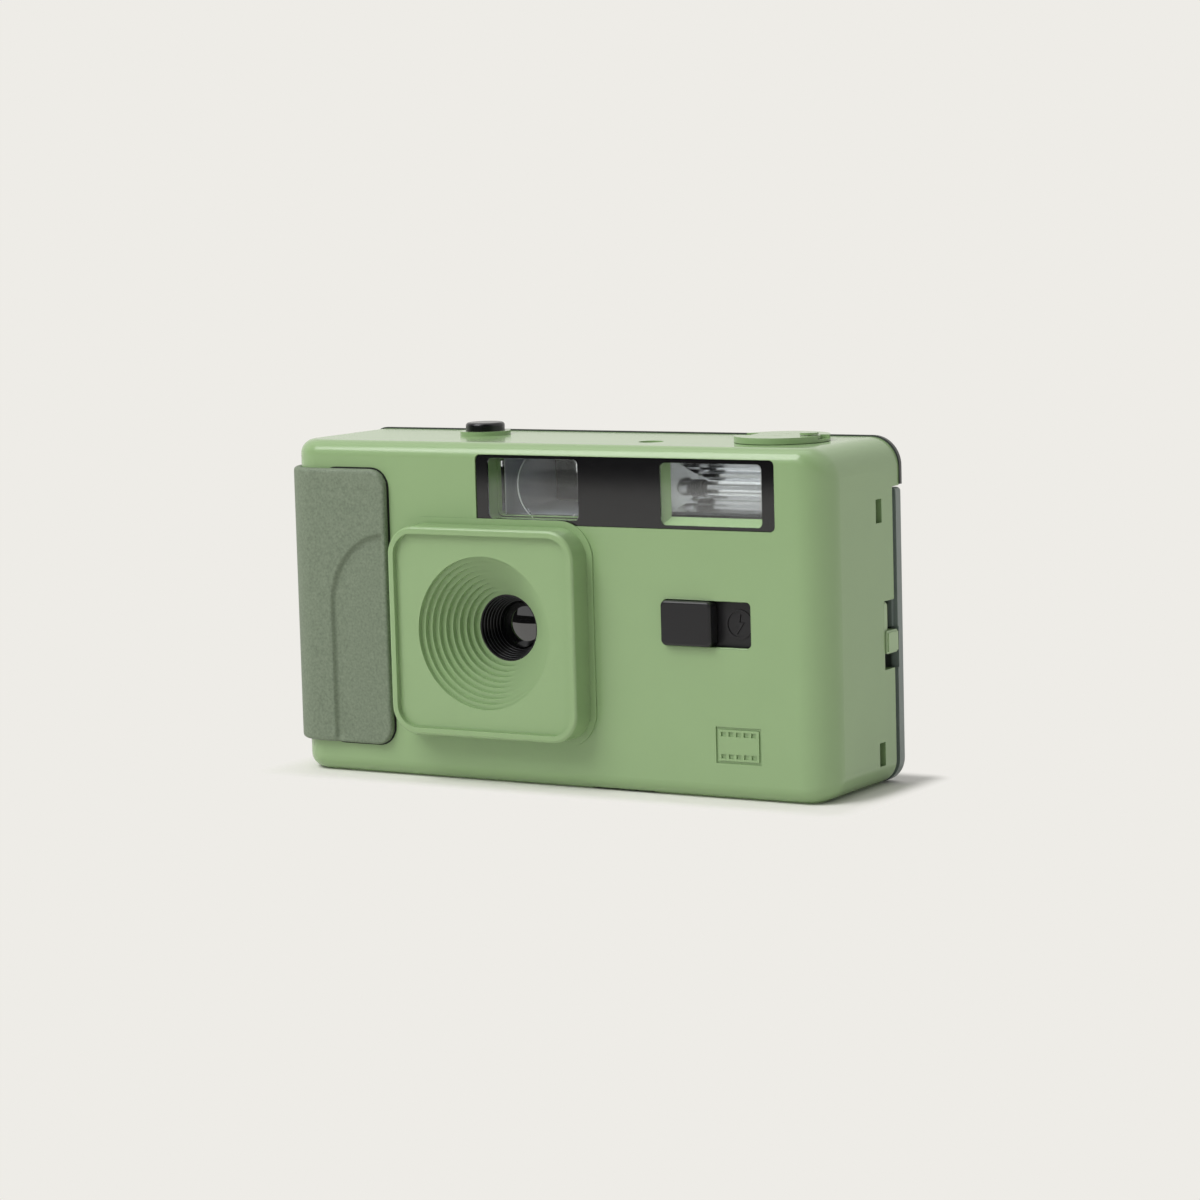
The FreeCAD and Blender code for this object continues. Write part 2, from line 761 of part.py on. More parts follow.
def make_lens_surround():
    """The square block, with a raised lip, and the stepped cup that runs back to the barrel."""
    half_width = "block_width / 2"
    half_tall = "block_tall / 2"
    body = doc.addObject("PartDesign::Body", "surround_block")
    sketch = body_sketch(body, "XZ_Plane", "body_depth / 2")
    draw_round_rectangle(sketch, "lens_x - " + half_width, "lens_x + " + half_width, "lens_z - " + half_tall,
                         "lens_z + " + half_tall, ("block_corner",) * 4)
    pad = body.newObject("PartDesign::Pad", "surround_pad")
    pad.Profile = sketch
    drive(pad, "Length", "block_height")
    drive(pad, "TaperAngle", "-block_draft / 2")
    doc.recompute()
    front = value("-body_depth / 2 - block_height")
    names = edges_of(pad.Shape, lambda point: abs(point.y - front) < TOUCH)
    body_fillet(body, pad, names, "lip_width * 0.4")
    cup = rod_y("surround_cup", "lens_x", "lens_z", "0", "recess_floor + cup_lap", "cup_radius",
                "barrel_radius + cup_neck")
    flange = slab_y("surround_flange", "-flange_height", "0", "lens_x - %s - flange_width" % half_width,
                    "lens_x + %s + flange_width" % half_width, "lens_z - %s - flange_width" % half_tall,
                    "lens_z + %s + flange_width" % half_tall, ("block_corner + flange_width",) * 4)
    tools = [slab_y("surround_face", "-block_height - 1", "lip_height - block_height",
                    "lens_x - %s + lip_width" % half_width, "lens_x + %s - lip_width" % half_width,
                    "lens_z - %s + lip_width" % half_tall, "lens_z + %s - lip_width" % half_tall,
                    ("block_corner - lip_width",) * 4)]
    steps = SIZES["recess_steps"]
    face = "(lip_height - block_height)"
    for step in range(steps):
        radius = "recess_radius - (recess_radius - barrel_radius) * %d / recess_steps" % step
        reach = "%s + (recess_floor - %s) * %d / recess_steps" % (face, face, step + 1)
        tools.append(rod_y("recess_step_%d" % step, "lens_x", "lens_z", "-block_height - 1", reach, radius))
    tools.append(rod_y("surround_bore", "lens_x", "lens_z", "-block_height", "recess_floor + 2",
                       "barrel_radius + 0.05"))
    return node(cut("lens_surround", fuse("surround_solid", [body, flange, cup]), tools))


def make_grip_scoop():
    """The shallow hollow for the fingers: a step on its left and upper side that runs out to the right."""
    radius = "((grip_right - scoop_left)^2 + (scoop_top - scoop_turn)^2) / (2 * (grip_right - scoop_left))"
    bow = rod_y("scoop_bow", "scoop_left + %s" % radius, "scoop_turn", "-10", "5", radius)
    straight = box("scoop_straight", "scoop_left", "grip_right + 5", "-10", "5", "grip_base - 5", "scoop_turn")
    depth = box("scoop_tilt", "grip_right - grip_width", "grip_right", "-grip_width", "0", "0", "body_height")
    lean = "atan(scoop_depth / scoop_width)"
    depth.Placement = FreeCAD.Placement(Vector(), Rotation(Vector(0, 0, -1), 1))
    drive(depth, "Placement.Rotation.Angle", lean)
    drive(depth, "Placement.Base.x", "grip_right - grip_width * (cos(%s) + sin(%s))" % (lean, lean))
    drive(depth, "Placement.Base.y", deep("grip_width * (sin(%s) - cos(%s)) - grip_skin" % (lean, lean)))
    return common("grip_scoop", fuse("scoop_area", [bow, straight]), depth)


def make_grip_cover():
    """A soft cover that follows the shell round its left front edge, with a scoop for the fingers."""
    left = "-%s - grip_skin" % HALF
    body = doc.addObject("PartDesign::Body", "grip_block")
    sketch = body_sketch(body, "XZ_Plane", "-(%s)" % deep("grip_back"))
    draw_round_rectangle(sketch, left, "grip_right", "grip_base", "grip_top",
                         ("0", "grip_corner", "grip_corner", "0"))
    pad = body.newObject("PartDesign::Pad", "grip_pad")
    pad.Profile = sketch
    drive(pad, "Length", "grip_back + grip_skin")
    doc.recompute()
    front = value(deep("-grip_skin"))
    side = value(left)
    names = edges_of(pad.Shape, lambda point: abs(point.y - front) < TOUCH and point.x < side + 1e-4)
    corner = body_fillet(body, pad, names, "side_round + grip_skin")
    doc.recompute()
    names = edges_of(corner.Shape, lambda point: abs(point.y - front) < TOUCH and point.x > side + 10)
    body_fillet(body, corner, names, "grip_edge")
    form = make_shell_form("grip_inner_form")
    return node(cut("grip_cover", body, [form, make_grip_scoop()]))


def make_window_parts():
    """The black strip and the clear and bright parts behind its two windows."""
    strip = slab_y("strip_blank", "strip_sunk", "strip_floor", "strip_left + slip", "strip_right - slip",
                   "strip_base + slip", "strip_top - slip", ("strip_corner",) * 4)
    holes = [
        slab_y("strip_finder_hole", "-1", "strip_floor + 1", "finder_left", "finder_right", "finder_base",
               "finder_top", ("strip_corner",) * 4),
        slab_y("strip_flash_hole", "-1", "strip_floor + 1", "flash_left", "flash_right", "flash_base",
               "flash_top", ("strip_corner",) * 4),
    ]
    node(cut("window_strip", strip, holes))

    lens = box("finder_lens_blank", "finder_left - tunnel_wall", "finder_right + tunnel_wall", "finder_depth",
               "finder_depth + finder_thick", "finder_base - finder_lap", "finder_top + finder_lap")
    dish = doc.addObject("Part::Sphere", "finder_lens_dish")
    drive(dish, "Radius", "finder_lens_curve")
    place(dish, "(finder_left + finder_right) / 2", deep("finder_depth + finder_waist - finder_lens_curve"),
          "(finder_base + finder_top) / 2")
    node(cut("viewfinder_front_lens", lens, [dish]))

    outer = box("finder_tube_outer", "finder_left - tunnel_wall", "finder_right + tunnel_wall",
                "finder_depth + finder_thick", "finder_tube_back", "finder_base - finder_lap",
                "finder_top + finder_lap")
    inner = box("finder_tube_inner", "finder_left", "finder_right", "0", "finder_tube_back - 1",
                "finder_base + finder_wall", "finder_top - finder_wall")
    eye = box("finder_eye_hole", EYE_X + " - eyepiece_width / 2 + eyepiece_lap",
              EYE_X + " + eyepiece_width / 2 - eyepiece_lap", "finder_tube_back - 2", "finder_tube_back + 1",
              EYE_Z + " - eyepiece_height / 2 + eyepiece_lap", EYE_Z + " + eyepiece_height / 2 - eyepiece_lap")
    node(cut("viewfinder_tube", outer, [inner, eye]))
    node(box("eyepiece_lens", EYE_X + " - eyepiece_width / 2", EYE_X + " + eyepiece_width / 2",
             "finder_tube_back", "body_depth - eyepiece_sunk", EYE_Z + " - eyepiece_height / 2",
             EYE_Z + " + eyepiece_height / 2"))


def make_flash_parts():
    top = "flash_top + tunnel_wall - pane_gap"
    node(box("flash_pane", "flash_left - tunnel_wall", "flash_right + tunnel_wall", "tunnel_depth", FLASH_BACK,
             FLASH_LOW, top))
    block = box("reflector_block", "flash_left + flash_cheek - tunnel_wall", "flash_right + tunnel_wall",
                FLASH_BACK, FLASH_BACK + " + reflector_depth", FLASH_LOW, top)
    trough = rod_x("reflector_trough", FLASH_BACK, FLASH_MIDDLE, "flash_left + flash_cheek",
                   "flash_right", "(flash_top - flash_base - flash_ledge) / 2")
    ends = rod_x("reflector_tube_hole", FLASH_BACK + " + tube_radius * 2", FLASH_MIDDLE,
                 "flash_left - 5", "flash_right + 5", "tube_radius")
    node(cut("flash_reflector", block, [trough, ends]))
    node(rod_x("flash_tube", FLASH_BACK + " + tube_radius * 2", FLASH_MIDDLE,
               "flash_left + flash_cheek - tunnel_wall - tube_end", "flash_right + tunnel_wall + tube_end",
               "tube_radius"))

    board_low = "(chamber_top + chamber_lid)"
    board_top = "(%s + board_thick)" % board_low
    board_front = "(%s + reflector_depth + board_gap)" % FLASH_BACK
    right = "%s - wall - 0.6" % HALF
    board = box("board_blank", "lamp_x - 2.5", right, board_front, "shell_back - 0.4", board_low, board_top)
    hole = rod_z("board_shaft_hole", "cassette_x", CASSETTE_DEPTH, "0", "body_height", "rewind_shaft + 1")
    node(cut("flash_board", board, [hole]))
    node(rod_y("flash_capacitor", "%s - wall - capacitor_radius - 1.2" % HALF,
               board_top + " + capacitor_radius", board_front + " + board_gap",
               board_front + " + board_gap + capacitor_length", "capacitor_radius"))
    node(rod_x("trigger_coil", board_front + " + 4", board_top + " + coil_radius", "flash_left + 1",
               "flash_left + 8", "coil_radius"))
    base = box("lamp_base", "lamp_x - lamp_radius", "lamp_x + lamp_radius", "shell_back - lamp_length",
               "shell_back - 1", board_top, "lamp_level")
    dome = rod_y("lamp_dome", "lamp_x", "lamp_level", "shell_back - lamp_length", "body_depth - lamp_sunk",
                 "lamp_radius")
    node(fuse("ready_lamp", [base, dome]))


def make_switch_parts():
    """The flash switch: a dark floor with a raised bolt in a ring, and the knob that slides over it."""
    plate = box("switch_floor_plate", "switch_left - switch_lap", "switch_right + switch_lap", "wall",
                "wall + switch_plate_thick", "switch_base - switch_lap", "switch_top + switch_lap")
    symbol_x = "(switch_right - symbol_radius - 0.5)"
    symbol_z = "((switch_base + switch_top) / 2)"
    ring = cut("symbol_ring",
               rod_y("symbol_outer", symbol_x, symbol_z, "wall - 0.2", "wall + 0.1", "symbol_radius"),
               [rod_y("symbol_inner", symbol_x, symbol_z, "wall - 1", "wall + 1", "symbol_radius - symbol_line")])
    sketch = doc.addObject("Sketcher::SketchObject", "bolt_outline")
    place(sketch, symbol_x, deep("wall + 0.1"), symbol_z, UPRIGHT)
    bolt = ((0.35, 1.8), (-1.0, -0.25), (-0.1, -0.25), (-0.45, -1.8), (1.0, 0.35), (0.1, 0.35))
    for index, (start, end) in enumerate(zip(bolt, bolt[1:] + bolt[:1])):
        sketch.addGeometry(Part.LineSegment(Vector(*start, 0), Vector(*end, 0)))
        tie(sketch, "DistanceX", (-1, 1, index, 1), "symbol_radius * %g / 2.7" % start[0])
        tie(sketch, "DistanceY", (-1, 1, index, 1), "symbol_radius * %g / 2.7" % start[1])
    for index in range(len(bolt)):
        after = (index + 1) % len(bolt)
        sketch.addConstraint(Sketcher.Constraint("Coincident", index, 2, after, 1))
    raised = doc.addObject("Part::Extrusion", "symbol_bolt")
    raised.Base = sketch
    raised.DirMode = "Normal"
    raised.Solid = True
    drive(raised, "LengthFwd", "0.3")
    stem_x = "switch_left + knob_gap + 1.5"
    slot = box("switch_slot", stem_x + " - 1.1", stem_x + " + 1.1 + " + SWITCH_TRAVEL, "0", "wall + 5",
               symbol_z + " - 0.6", symbol_z + " + 0.6")
    node(cut("flash_switch_plate", fuse("switch_plate_solid", [plate, ring, raised]), [slot]))

    body = doc.addObject("PartDesign::Body", "knob_block")
    outline = body_sketch(body, "XZ_Plane", "-(%s)" % deep("wall - 0.35"))
    draw_round_rectangle(outline, "switch_left + knob_gap", "switch_left + knob_gap + knob_width",
                         "switch_base + knob_gap", "switch_top - knob_gap", ("switch_corner",) * 4)
    pad = body.newObject("PartDesign::Pad", "knob_pad")
    pad.Profile = outline
    drive(pad, "Length", "wall - 0.35 + knob_proud")
    doc.recompute()
    front = value(deep("-knob_proud"))
    names = edges_of(pad.Shape, lambda point: abs(point.y - front) < TOUCH)
    body_fillet(body, pad, names, "0.5")
    stem = box("knob_stem", stem_x + " - 1", stem_x + " + 1", "wall - 0.5",
               "wall + switch_plate_thick - 0.1", symbol_z + " - 0.5", symbol_z + " + 0.5")
    node(fuse("flash_switch_knob", [body, stem]))


def make_lens_parts():
    """The black barrel with its ridges, two glasses and the ring that holds them."""
    tube = rod_y("barrel_tube", "lens_x", "lens_z", "recess_floor + 0.1", "barrel_back", "barrel_radius")
    bores = [rod_y("barrel_bore_front", "lens_x", "lens_z", "recess_floor - 1", "lens_front", "barrel_bore"),
             rod_y("barrel_bore_back", "lens_x", "lens_z", "lens_front", "barrel_back + 1", "barrel_bore + 0.6")]
    for ridge in range(4):
        bores.append(rod_y("barrel_ridge_%d" % ridge, "lens_x", "lens_z", "recess_floor - 1",
                           "recess_floor + 0.1 + (lens_front - recess_floor) * %d / 5" % (ridge + 1),
                           "barrel_radius - 0.5 - (barrel_radius - barrel_bore - 0.5) * %d / 4" % ridge))
    node(cut("lens_barrel", tube, bores))
    blank = rod_y("lens_blank", "lens_x", "lens_z", "lens_front", "lens_front + lens_thick", "barrel_bore + 0.6")
    ball = doc.addObject("Part::Sphere", "lens_ball")
    drive(ball, "Radius", "lens_curve")
    place(ball, "lens_x", deep("lens_front + lens_curve"), "lens_z")
    node(common("taking_lens", blank, ball))
    ring = rod_y("ring_blank", "lens_x", "lens_z", "lens_front + lens_thick", "barrel_back", "barrel_bore + 0.6")
    node(cut("lens_ring", ring, [rod_y("ring_bore", "lens_x", "lens_z", "lens_front", "barrel_back + 1",
                                       "barrel_bore - 1.2")]))


def make_light_box(label, grow):
    """The tapering tunnel from the lens to the film gate, grown by a wall."""
    item = doc.addObject("Part::Wedge", label)
    item.Label = label
    limits = {
        "Xmin": "lens_x - light_hole - %s", "Xmax": "lens_x + light_hole + %s",
        "Zmin": "lens_z - light_hole - %s", "Zmax": "lens_z + light_hole + %s",
        "X2min": "lens_x - gate_width / 2 - %s", "X2max": "lens_x + gate_width / 2 + %s",
        "Z2min": "lens_z - gate_height / 2 - %s", "Z2max": "lens_z + gate_height / 2 + %s",
    }
    for name, text in limits.items():
        drive(item, name, text % grow)
    drive(item, "Ymin", deep("light_box_front"))
    drive(item, "Ymax", deep(GATE_BACK))
    return item


def make_ear(label, low, high):
    """One hinge ear behind the shell's edge, with the arm that ties it to the take-up chamber."""
    barrel = rod_z(label + "_barrel", HINGE_X, HINGE_DEPTH, low, high, "knuckle_radius")
    arm = box(label + "_arm", HINGE_X + " + knuckle_radius / 2", HINGE_X + " + knuckle_radius", "take_up_y",
              HINGE_DEPTH, low, high)
    return [barrel, arm]


def make_film_chassis():
    """The black frame: cassette chamber, film gate with rails, take-up chamber, battery sleeve and ears."""
    outer_radius = "(cassette_radius + chamber_wall)"
    take_up_outer = "(take_up_radius + chamber_wall)"
    round_front = rod_z("cassette_round", "cassette_x", CASSETTE_DEPTH, "wall + chamber_foot", CHAMBER_LID_TOP,
                        outer_radius)
    back_half = box("cassette_back_half", "cassette_x - body_depth", "cassette_x + body_depth", CASSETTE_DEPTH,
                    "body_depth * 2", "0", "body_height")
    solids = [
        cut("cassette_outer", round_front, [back_half]),
        box("cassette_outer_back", "cassette_x - " + outer_radius, "cassette_x + " + outer_radius,
            CASSETTE_DEPTH, "film_plane", "wall + chamber_foot", CHAMBER_LID_TOP),
        rod_z("take_up_outer", "take_up_x", "take_up_y", TAKE_UP_LOW, CHAMBER_LID_TOP, take_up_outer),
        box("take_up_outer_back", "take_up_x - " + take_up_outer, "take_up_x + " + take_up_outer, "take_up_y",
            "film_plane", TAKE_UP_LOW, CHAMBER_LID_TOP),
        box("gate_wall", "take_up_x + take_up_radius", "cassette_x - cassette_radius",
            GATE_BACK + " - gate_plate", GATE_BACK, "wall", "finder_base - 1"),
        make_light_box("light_box_outer", "light_box_wall"),
        rod_z("battery_sleeve_outer", "battery_x", "battery_y", "wall", CHAMBER_LID_TOP,
              "battery_sleeve + light_box_wall"),
        box("sleeve_bridge", "battery_x", "cassette_x - cassette_radius", "battery_y + 3", "battery_y + 6.2",
            "wall", CHAMBER_LID_TOP),
        box("sleeve_web", "battery_x - 3", "battery_x + 3", "battery_y + 3", GATE_BACK, "wall",
            "gate_low_edge"),
        box("shelf", "take_up_x", "battery_x", "light_box_front", GATE_BACK, "finder_base - 2",
            "finder_base - 1"),
        rod_z("thumb_post", "thumb_x", "thumb_y", CHAMBER_LID_TOP + " - 0.5", "thumb_base + thumb_thick + 0.6",
              "thumb_post"),
        rod_z("counter_post", "counter_x", "counter_y", CHAMBER_LID_TOP + " - 0.5",
              "counter_base + counter_height", "post_radius"),
        rod_z("counter_foot", "counter_x", "counter_y", CHAMBER_LID_TOP + " - 0.5", "counter_base - slip",
              "post_radius + 0.15"),
        rod_z("thumb_foot", "thumb_x", "thumb_y", CHAMBER_LID_TOP + " - 0.5", "gear_base - slip",
              "thumb_post * 1.6"),
        box("shutter_rest", "lens_x - barrel_radius - plate_margin", "lens_x + barrel_radius + plate_margin",
            "light_box_front", "light_box_front + light_box_wall", "plate_low", "plate_high"),
        box("post_deck", "-%s + slip" % INSIDE, "sprocket_x + 4", "take_up_y", "film_plane",
            "chamber_top", CHAMBER_LID_TOP),
        rod_z("release_guide", "sprocket_x", "sprocket_y", "wall", "release_length + 2.6",
              "release_radius + 1"),
        box("release_web", "sprocket_x - 1", "sprocket_x + 1", "sprocket_y", GATE_BACK, "wall",
            "release_length + 2.6"),
        box("latch_guide", "cassette_x + cassette_radius", LATCH_IN + " - slip", "snap_front", "film_plane",
            "latch_slot_base - 3", "latch_slot_top + 10"),
        box("latch_spring_stop", "cassette_x + cassette_radius", INSIDE + " - slip", "latch_slot_front - 2",
            "film_plane", "latch_slot_top + 10", "latch_slot_top + 11.5"),
    ]
    for side in (-1, 1):
        middle = "lens_z + %d * (gate_height / 2 + rail_width)" % side
        solids.append(box("rail_%d" % side, "take_up_x + take_up_radius", "cassette_x - cassette_radius",
                          GATE_BACK, "film_plane", middle + " - rail_width / 2", middle + " + rail_width / 2"))
    solids += make_ear("ear_low", "ear_base", "ear_base + ear_length")
    solids += make_ear("ear_high", "door_top - ear_base - ear_length", "door_top - ear_base")
    for index, (x, z) in enumerate(SCREWS):
        solids.append(rod_y("pillar_%d" % index, x, z, BOSS_END, GATE_BACK, "boss_radius + boss_wall"))

    tools = [
        rod_z("cassette_room", "cassette_x", CASSETTE_DEPTH, "chamber_base", "chamber_top", "cassette_radius"),
        box("cassette_way", "cassette_x - cassette_radius", "cassette_x + cassette_radius", CASSETTE_DEPTH,
            "body_depth", "chamber_base", "chamber_top"),
        rod_z("take_up_room", "take_up_x", "take_up_y", "take_up_floor", "chamber_top", "take_up_radius"),
        box("take_up_way", "take_up_x - take_up_radius", "take_up_x + take_up_radius", "take_up_y",
            "body_depth", "take_up_floor", "chamber_top"),
        make_light_box("light_box_room", "0"),
        box("gate_opening", "lens_x - gate_width / 2", "lens_x + gate_width / 2", GATE_BACK + " - 0.2",
            "body_depth", "lens_z - gate_height / 2", "lens_z + gate_height / 2"),
        rod_y("light_opening", "lens_x", "lens_z", "light_box_front - 1", "light_box_front + 1", "light_hole"),
        rod_z("battery_room", "battery_x", "battery_y", "0", "battery_base + battery_length + 0.6",
              "battery_sleeve"),
        rod_z("sprocket_room", "sprocket_x", "sprocket_y", "sprocket_base - 0.4",
              "sprocket_base + sprocket_thick + 0.4", "sprocket_radius + sprocket_tooth + 0.5"),
        rod_z("sprocket_bearing", "sprocket_x", "sprocket_y", "release_length + 1", "body_height",
              "sprocket_shaft + bearing_gap"),
        rod_z("release_bore", "sprocket_x", "sprocket_y", "0", "release_length + 1.6",
              "release_radius + slip"),
        rod_z("spool_bearing_low", "take_up_x", "take_up_y", "take_up_floor - 2.4", "take_up_floor + 1",
              "spool_journal + bearing_gap"),
        rod_z("spool_bearing_high", "take_up_x", "take_up_y", "chamber_top - 1", "body_height",
              "spool_journal + bearing_gap"),
        rod_z("rewind_bearing", "cassette_x", CASSETTE_DEPTH, "chamber_top - 1", "body_height",
              "rewind_shaft + bearing_gap"),
        rod_z("hinge_bore", HINGE_X, HINGE_DEPTH, "0", "body_height", "pin_radius"),
    ]
    for index, (x, z) in enumerate(SCREWS):
        tools.append(rod_y("boss_way_%d" % index, x, z, "0", BOSS_END, "boss_radius + seam"))
        tools.append(rod_y("screw_way_%d" % index, x, z, "light_box_front", "body_depth", "screw_radius"))
        tools.append(rod_y("screw_seat_%d" % index, x, z, BOSS_END + " + screw_seat", "body_depth",
                           "screw_head + slip"))
    return node(cut("film_chassis", fuse("chassis_solid", solids), tools))


def make_screws():
    """The screws that hold the chassis to the shell's bosses."""
    pieces = []
    for index, (x, z) in enumerate(SCREWS):
        seat = BOSS_END + " + screw_seat"
        shank = rod_y("screw_shank_%d" % index, x, z, BOSS_END + " - screw_grip", seat, "screw_radius - slip")
        head = rod_y("screw_head_%d" % index, x, z, seat, seat + " + screw_head_thick", "screw_head")
        floor = seat + " + screw_slot_floor"
        reach = " screw_head * 0.7"
        slots = [
            box("screw_slot_a_%d" % index, x + " - screw_slot / 2", x + " + screw_slot / 2", floor,
                seat + " + screw_seat", z + " -" + reach, z + " +" + reach),
            box("screw_slot_b_%d" % index, x + " -" + reach, x + " +" + reach, floor, seat + " + screw_seat",
                z + " - screw_slot / 2", z + " + screw_slot / 2"),
        ]
        pieces.append(cut("screw_%d" % index, fuse("screw_body_%d" % index, [shank, head]), slots))
    group = doc.addObject("Part::Compound", "chassis_screws")
    group.Links = pieces
    return node(group)


def make_coil(label, x, y, z0, z1, radius):
    """A spring round an upright axis: tilted half rings that meet end to end in one smooth wire."""
    half_turns = 2 * SIZES["spring_turns"]
    rise = "(((%s) - (%s) - spring_wire) / (2 * spring_turns))" % (z1, z0)
    rings = []
    for index in range(half_turns):
        side = -1 if index % 2 else 1
        ring = doc.addObject("Part::Torus", "%s_ring_%d" % (label, index))
        drive(ring, "Radius1", "sqrt((%s)^2 + (%s / 2)^2)" % (radius, rise))
        drive(ring, "Radius2", "spring_wire / 2")
        ring.Angle3 = 180
        lean = "atan(%s / (2 * (%s)))" % (rise, radius)
        facing = Rotation(Vector(0, 0, 1), 90 - 90 * side)
        ring.Placement = FreeCAD.Placement(Vector(), Rotation(Vector(0, 1, 0), side * value(lean)) * facing)
        place(ring, x, deep(y), "%s + spring_wire / 2 + %s * (%d + 0.5)" % (z0, rise, index))
        rings.append(ring)
    return node(fuse(label, rings))


def make_shutter():
    """The plate with the aperture, the blade behind it and the lever that the button works."""
    plate_left = "lens_x - barrel_radius - plate_margin"
    plate_right = "lens_x + barrel_radius + plate_margin"
    plate_back = "barrel_back + plate_thick / 2"
    solids = [
        box("aperture_plate", plate_left, plate_right, "barrel_back", plate_back, "plate_low", "plate_high"),
        box("plate_ear", "lever_x - plate_foot", "lever_x + plate_foot", "barrel_back", plate_back,
            "plate_high - 1", "lever_z + plate_foot"),
        rod_y("blade_pin", "lens_x", "blade_z", "barrel_back", "light_box_front - blade_gap", "blade_pin"),
        rod_y("lever_pin", "lever_x", "lever_z", "lever_front - 0.3", "barrel_back + 0.1", "post_radius"),
    ]
    for side, edge in (("left", plate_left), ("right", plate_right + " - plate_foot")):
        solids.append(box("plate_foot_" + side, edge, edge + " + plate_foot", "barrel_back", "light_box_front",
                          "plate_low", "plate_high"))
    hole = rod_y("aperture", "lens_x", "lens_z", "0", "light_box_front - 0.5", "aperture_radius")
    node(cut("shutter_plate", fuse("shutter_plate_solid", solids), [hole]))

    front = plate_back + " + blade_gap"
    back = front + " + blade_thick"
    blade = fuse("blade_solid", [
        rod_y("blade_disc", "lens_x", "lens_z", front, back, "blade_radius"),
        box("blade_arm", "lens_x - blade_arm", "lens_x + blade_arm", front, back, "lens_z", "blade_z"),
        rod_y("blade_hub", "lens_x", "blade_z", front, back, "blade_pin * 2.5"),
        box("blade_tail", "lens_x - blade_tail", "lens_x", front, back, "blade_z - arm_half",
            "blade_z + arm_half"),
    ])
    node(cut("shutter_blade", blade, [rod_y("blade_bore", "lens_x", "blade_z", "0", "body_depth",
                                            "blade_pin + bearing_gap")]))

    lever_back = "lever_front + lever_thick"
    lever = fuse("lever_solid", [
        rod_y("lever_hub", "lever_x", "lever_z", "lever_front", lever_back, "post_radius * 2"),
        box("lever_beam", "button_x - pad_half", "lever_x", "lever_front", lever_back, "lever_z - arm_half",
            "lever_z + arm_half"),
        box("lever_pad", "button_x - pad_half", "button_x + pad_half", "lever_front", lever_back,
            "lever_z - arm_half", FOOT_LOW + " - slip"),
        box("lever_leg", "lever_x - arm_half", "lever_x + arm_half", "lever_front", lever_back, "blade_z + 2",
            "lever_z"),
    ])
    node(cut("release_lever", lever, [rod_y("lever_bore", "lever_x", "lever_z", "0", "body_depth",
                                            "post_radius + bearing_gap")]))


def make_shutter_button():
    top = "(body_height + collar_rise + button_rise)"
    cap_low = top + " - cap_height"
    body = doc.addObject("PartDesign::Body", "button_cap")
    sketch = body_sketch(body, "XY_Plane", cap_low)
    circle = sketch.addGeometry(Part.Circle(Vector(value("button_x"), value(deep("button_y")), 0),
                                            Vector(0, 0, 1), value("button_radius")))
    tie(sketch, "DistanceX", (-1, 1, circle, 3), "button_x")
    tie(sketch, "DistanceY", (-1, 1, circle, 3), deep("button_y"))
    tie(sketch, "Radius", (circle,), "button_radius")
    pad = body.newObject("PartDesign::Pad", "button_pad")
    pad.Profile = sketch
    drive(pad, "Length", "cap_height")
    doc.recompute()
    level = value(top)
    body_fillet(body, pad, edges_of(pad.Shape, lambda point: abs(point.z - level) < TOUCH), "cap_edge")
    stem = rod_z("button_stem", "button_x", "button_y", FOOT_LOW, cap_low, "stem_radius")
    foot = box("button_foot", "button_x - foot_half", "button_x + foot_half", "lever_front - foot_gap",
               "button_y", FOOT_LOW, FOOT_LOW + " + foot_half")
    node(fuse("shutter_button", [body, stem, foot]))
    make_coil("shutter_button_spring", "button_x", "button_y", "(well_floor + well_plate)", "(%s)" % cap_low,
              "(stem_radius + button_radius) / 2")


def make_wheel(label, x, y, z, thick, radius, bore, notches, notch):
    """A wheel with a bore, and evenly spaced notches in its rim."""
    body = doc.addObject("PartDesign::Body", label)
    place(body, x, deep(y), z)
    sketch = body.newObject("Sketcher::SketchObject", label + "_sketch")
    sketch.AttachmentSupport = [(plane_of(body, "XY_Plane"), "")]
    sketch.MapMode = "FlatFace"
    for size in (radius, bore):
        circle = sketch.addGeometry(Part.Circle(Vector(), Vector(0, 0, 1), value(size)))
        sketch.addConstraint(Sketcher.Constraint("Coincident", circle, 3, -1, 1))
        tie(sketch, "Radius", (circle,), size)
    pad = body.newObject("PartDesign::Pad", label + "_pad")
    pad.Profile = sketch
    drive(pad, "Length", thick)
    notch_sketch = body.newObject("Sketcher::SketchObject", label + "_notch_sketch")
    notch_sketch.AttachmentSupport = [(plane_of(body, "XY_Plane"), "")]
    notch_sketch.MapMode = "FlatFace"
    circle = notch_sketch.addGeometry(Part.Circle(Vector(value(radius), 0, 0), Vector(0, 0, 1), value(notch)))
    notch_sketch.addConstraint(Sketcher.Constraint("PointOnObject", circle, 3, -1))
    tie(notch_sketch, "DistanceX", (-1, 1, circle, 3), radius)
    tie(notch_sketch, "Radius", (circle,), notch)
    pocket = body.newObject("PartDesign::Pocket", label + "_notch")
    pocket.Profile = notch_sketch
    pocket.Reversed = True
    pocket.Type = "ThroughAll"
    doc.recompute()
    pattern = body.newObject("PartDesign::PolarPattern", label + "_notches")
    pattern.Originals = [pocket]
    pattern.Axis = (notch_sketch, ["N_Axis"])
    pattern.Angle = 360
    pattern.Occurrences = SIZES[notches]
    drive(pattern, "Occurrences", notches)
    body.Tip = pattern
    doc.recompute()
    if pattern.Shape.Volume > pad.Shape.Volume - 1e-3:
        raise RuntimeError("the notches of %s cut nothing" % label)
    return body


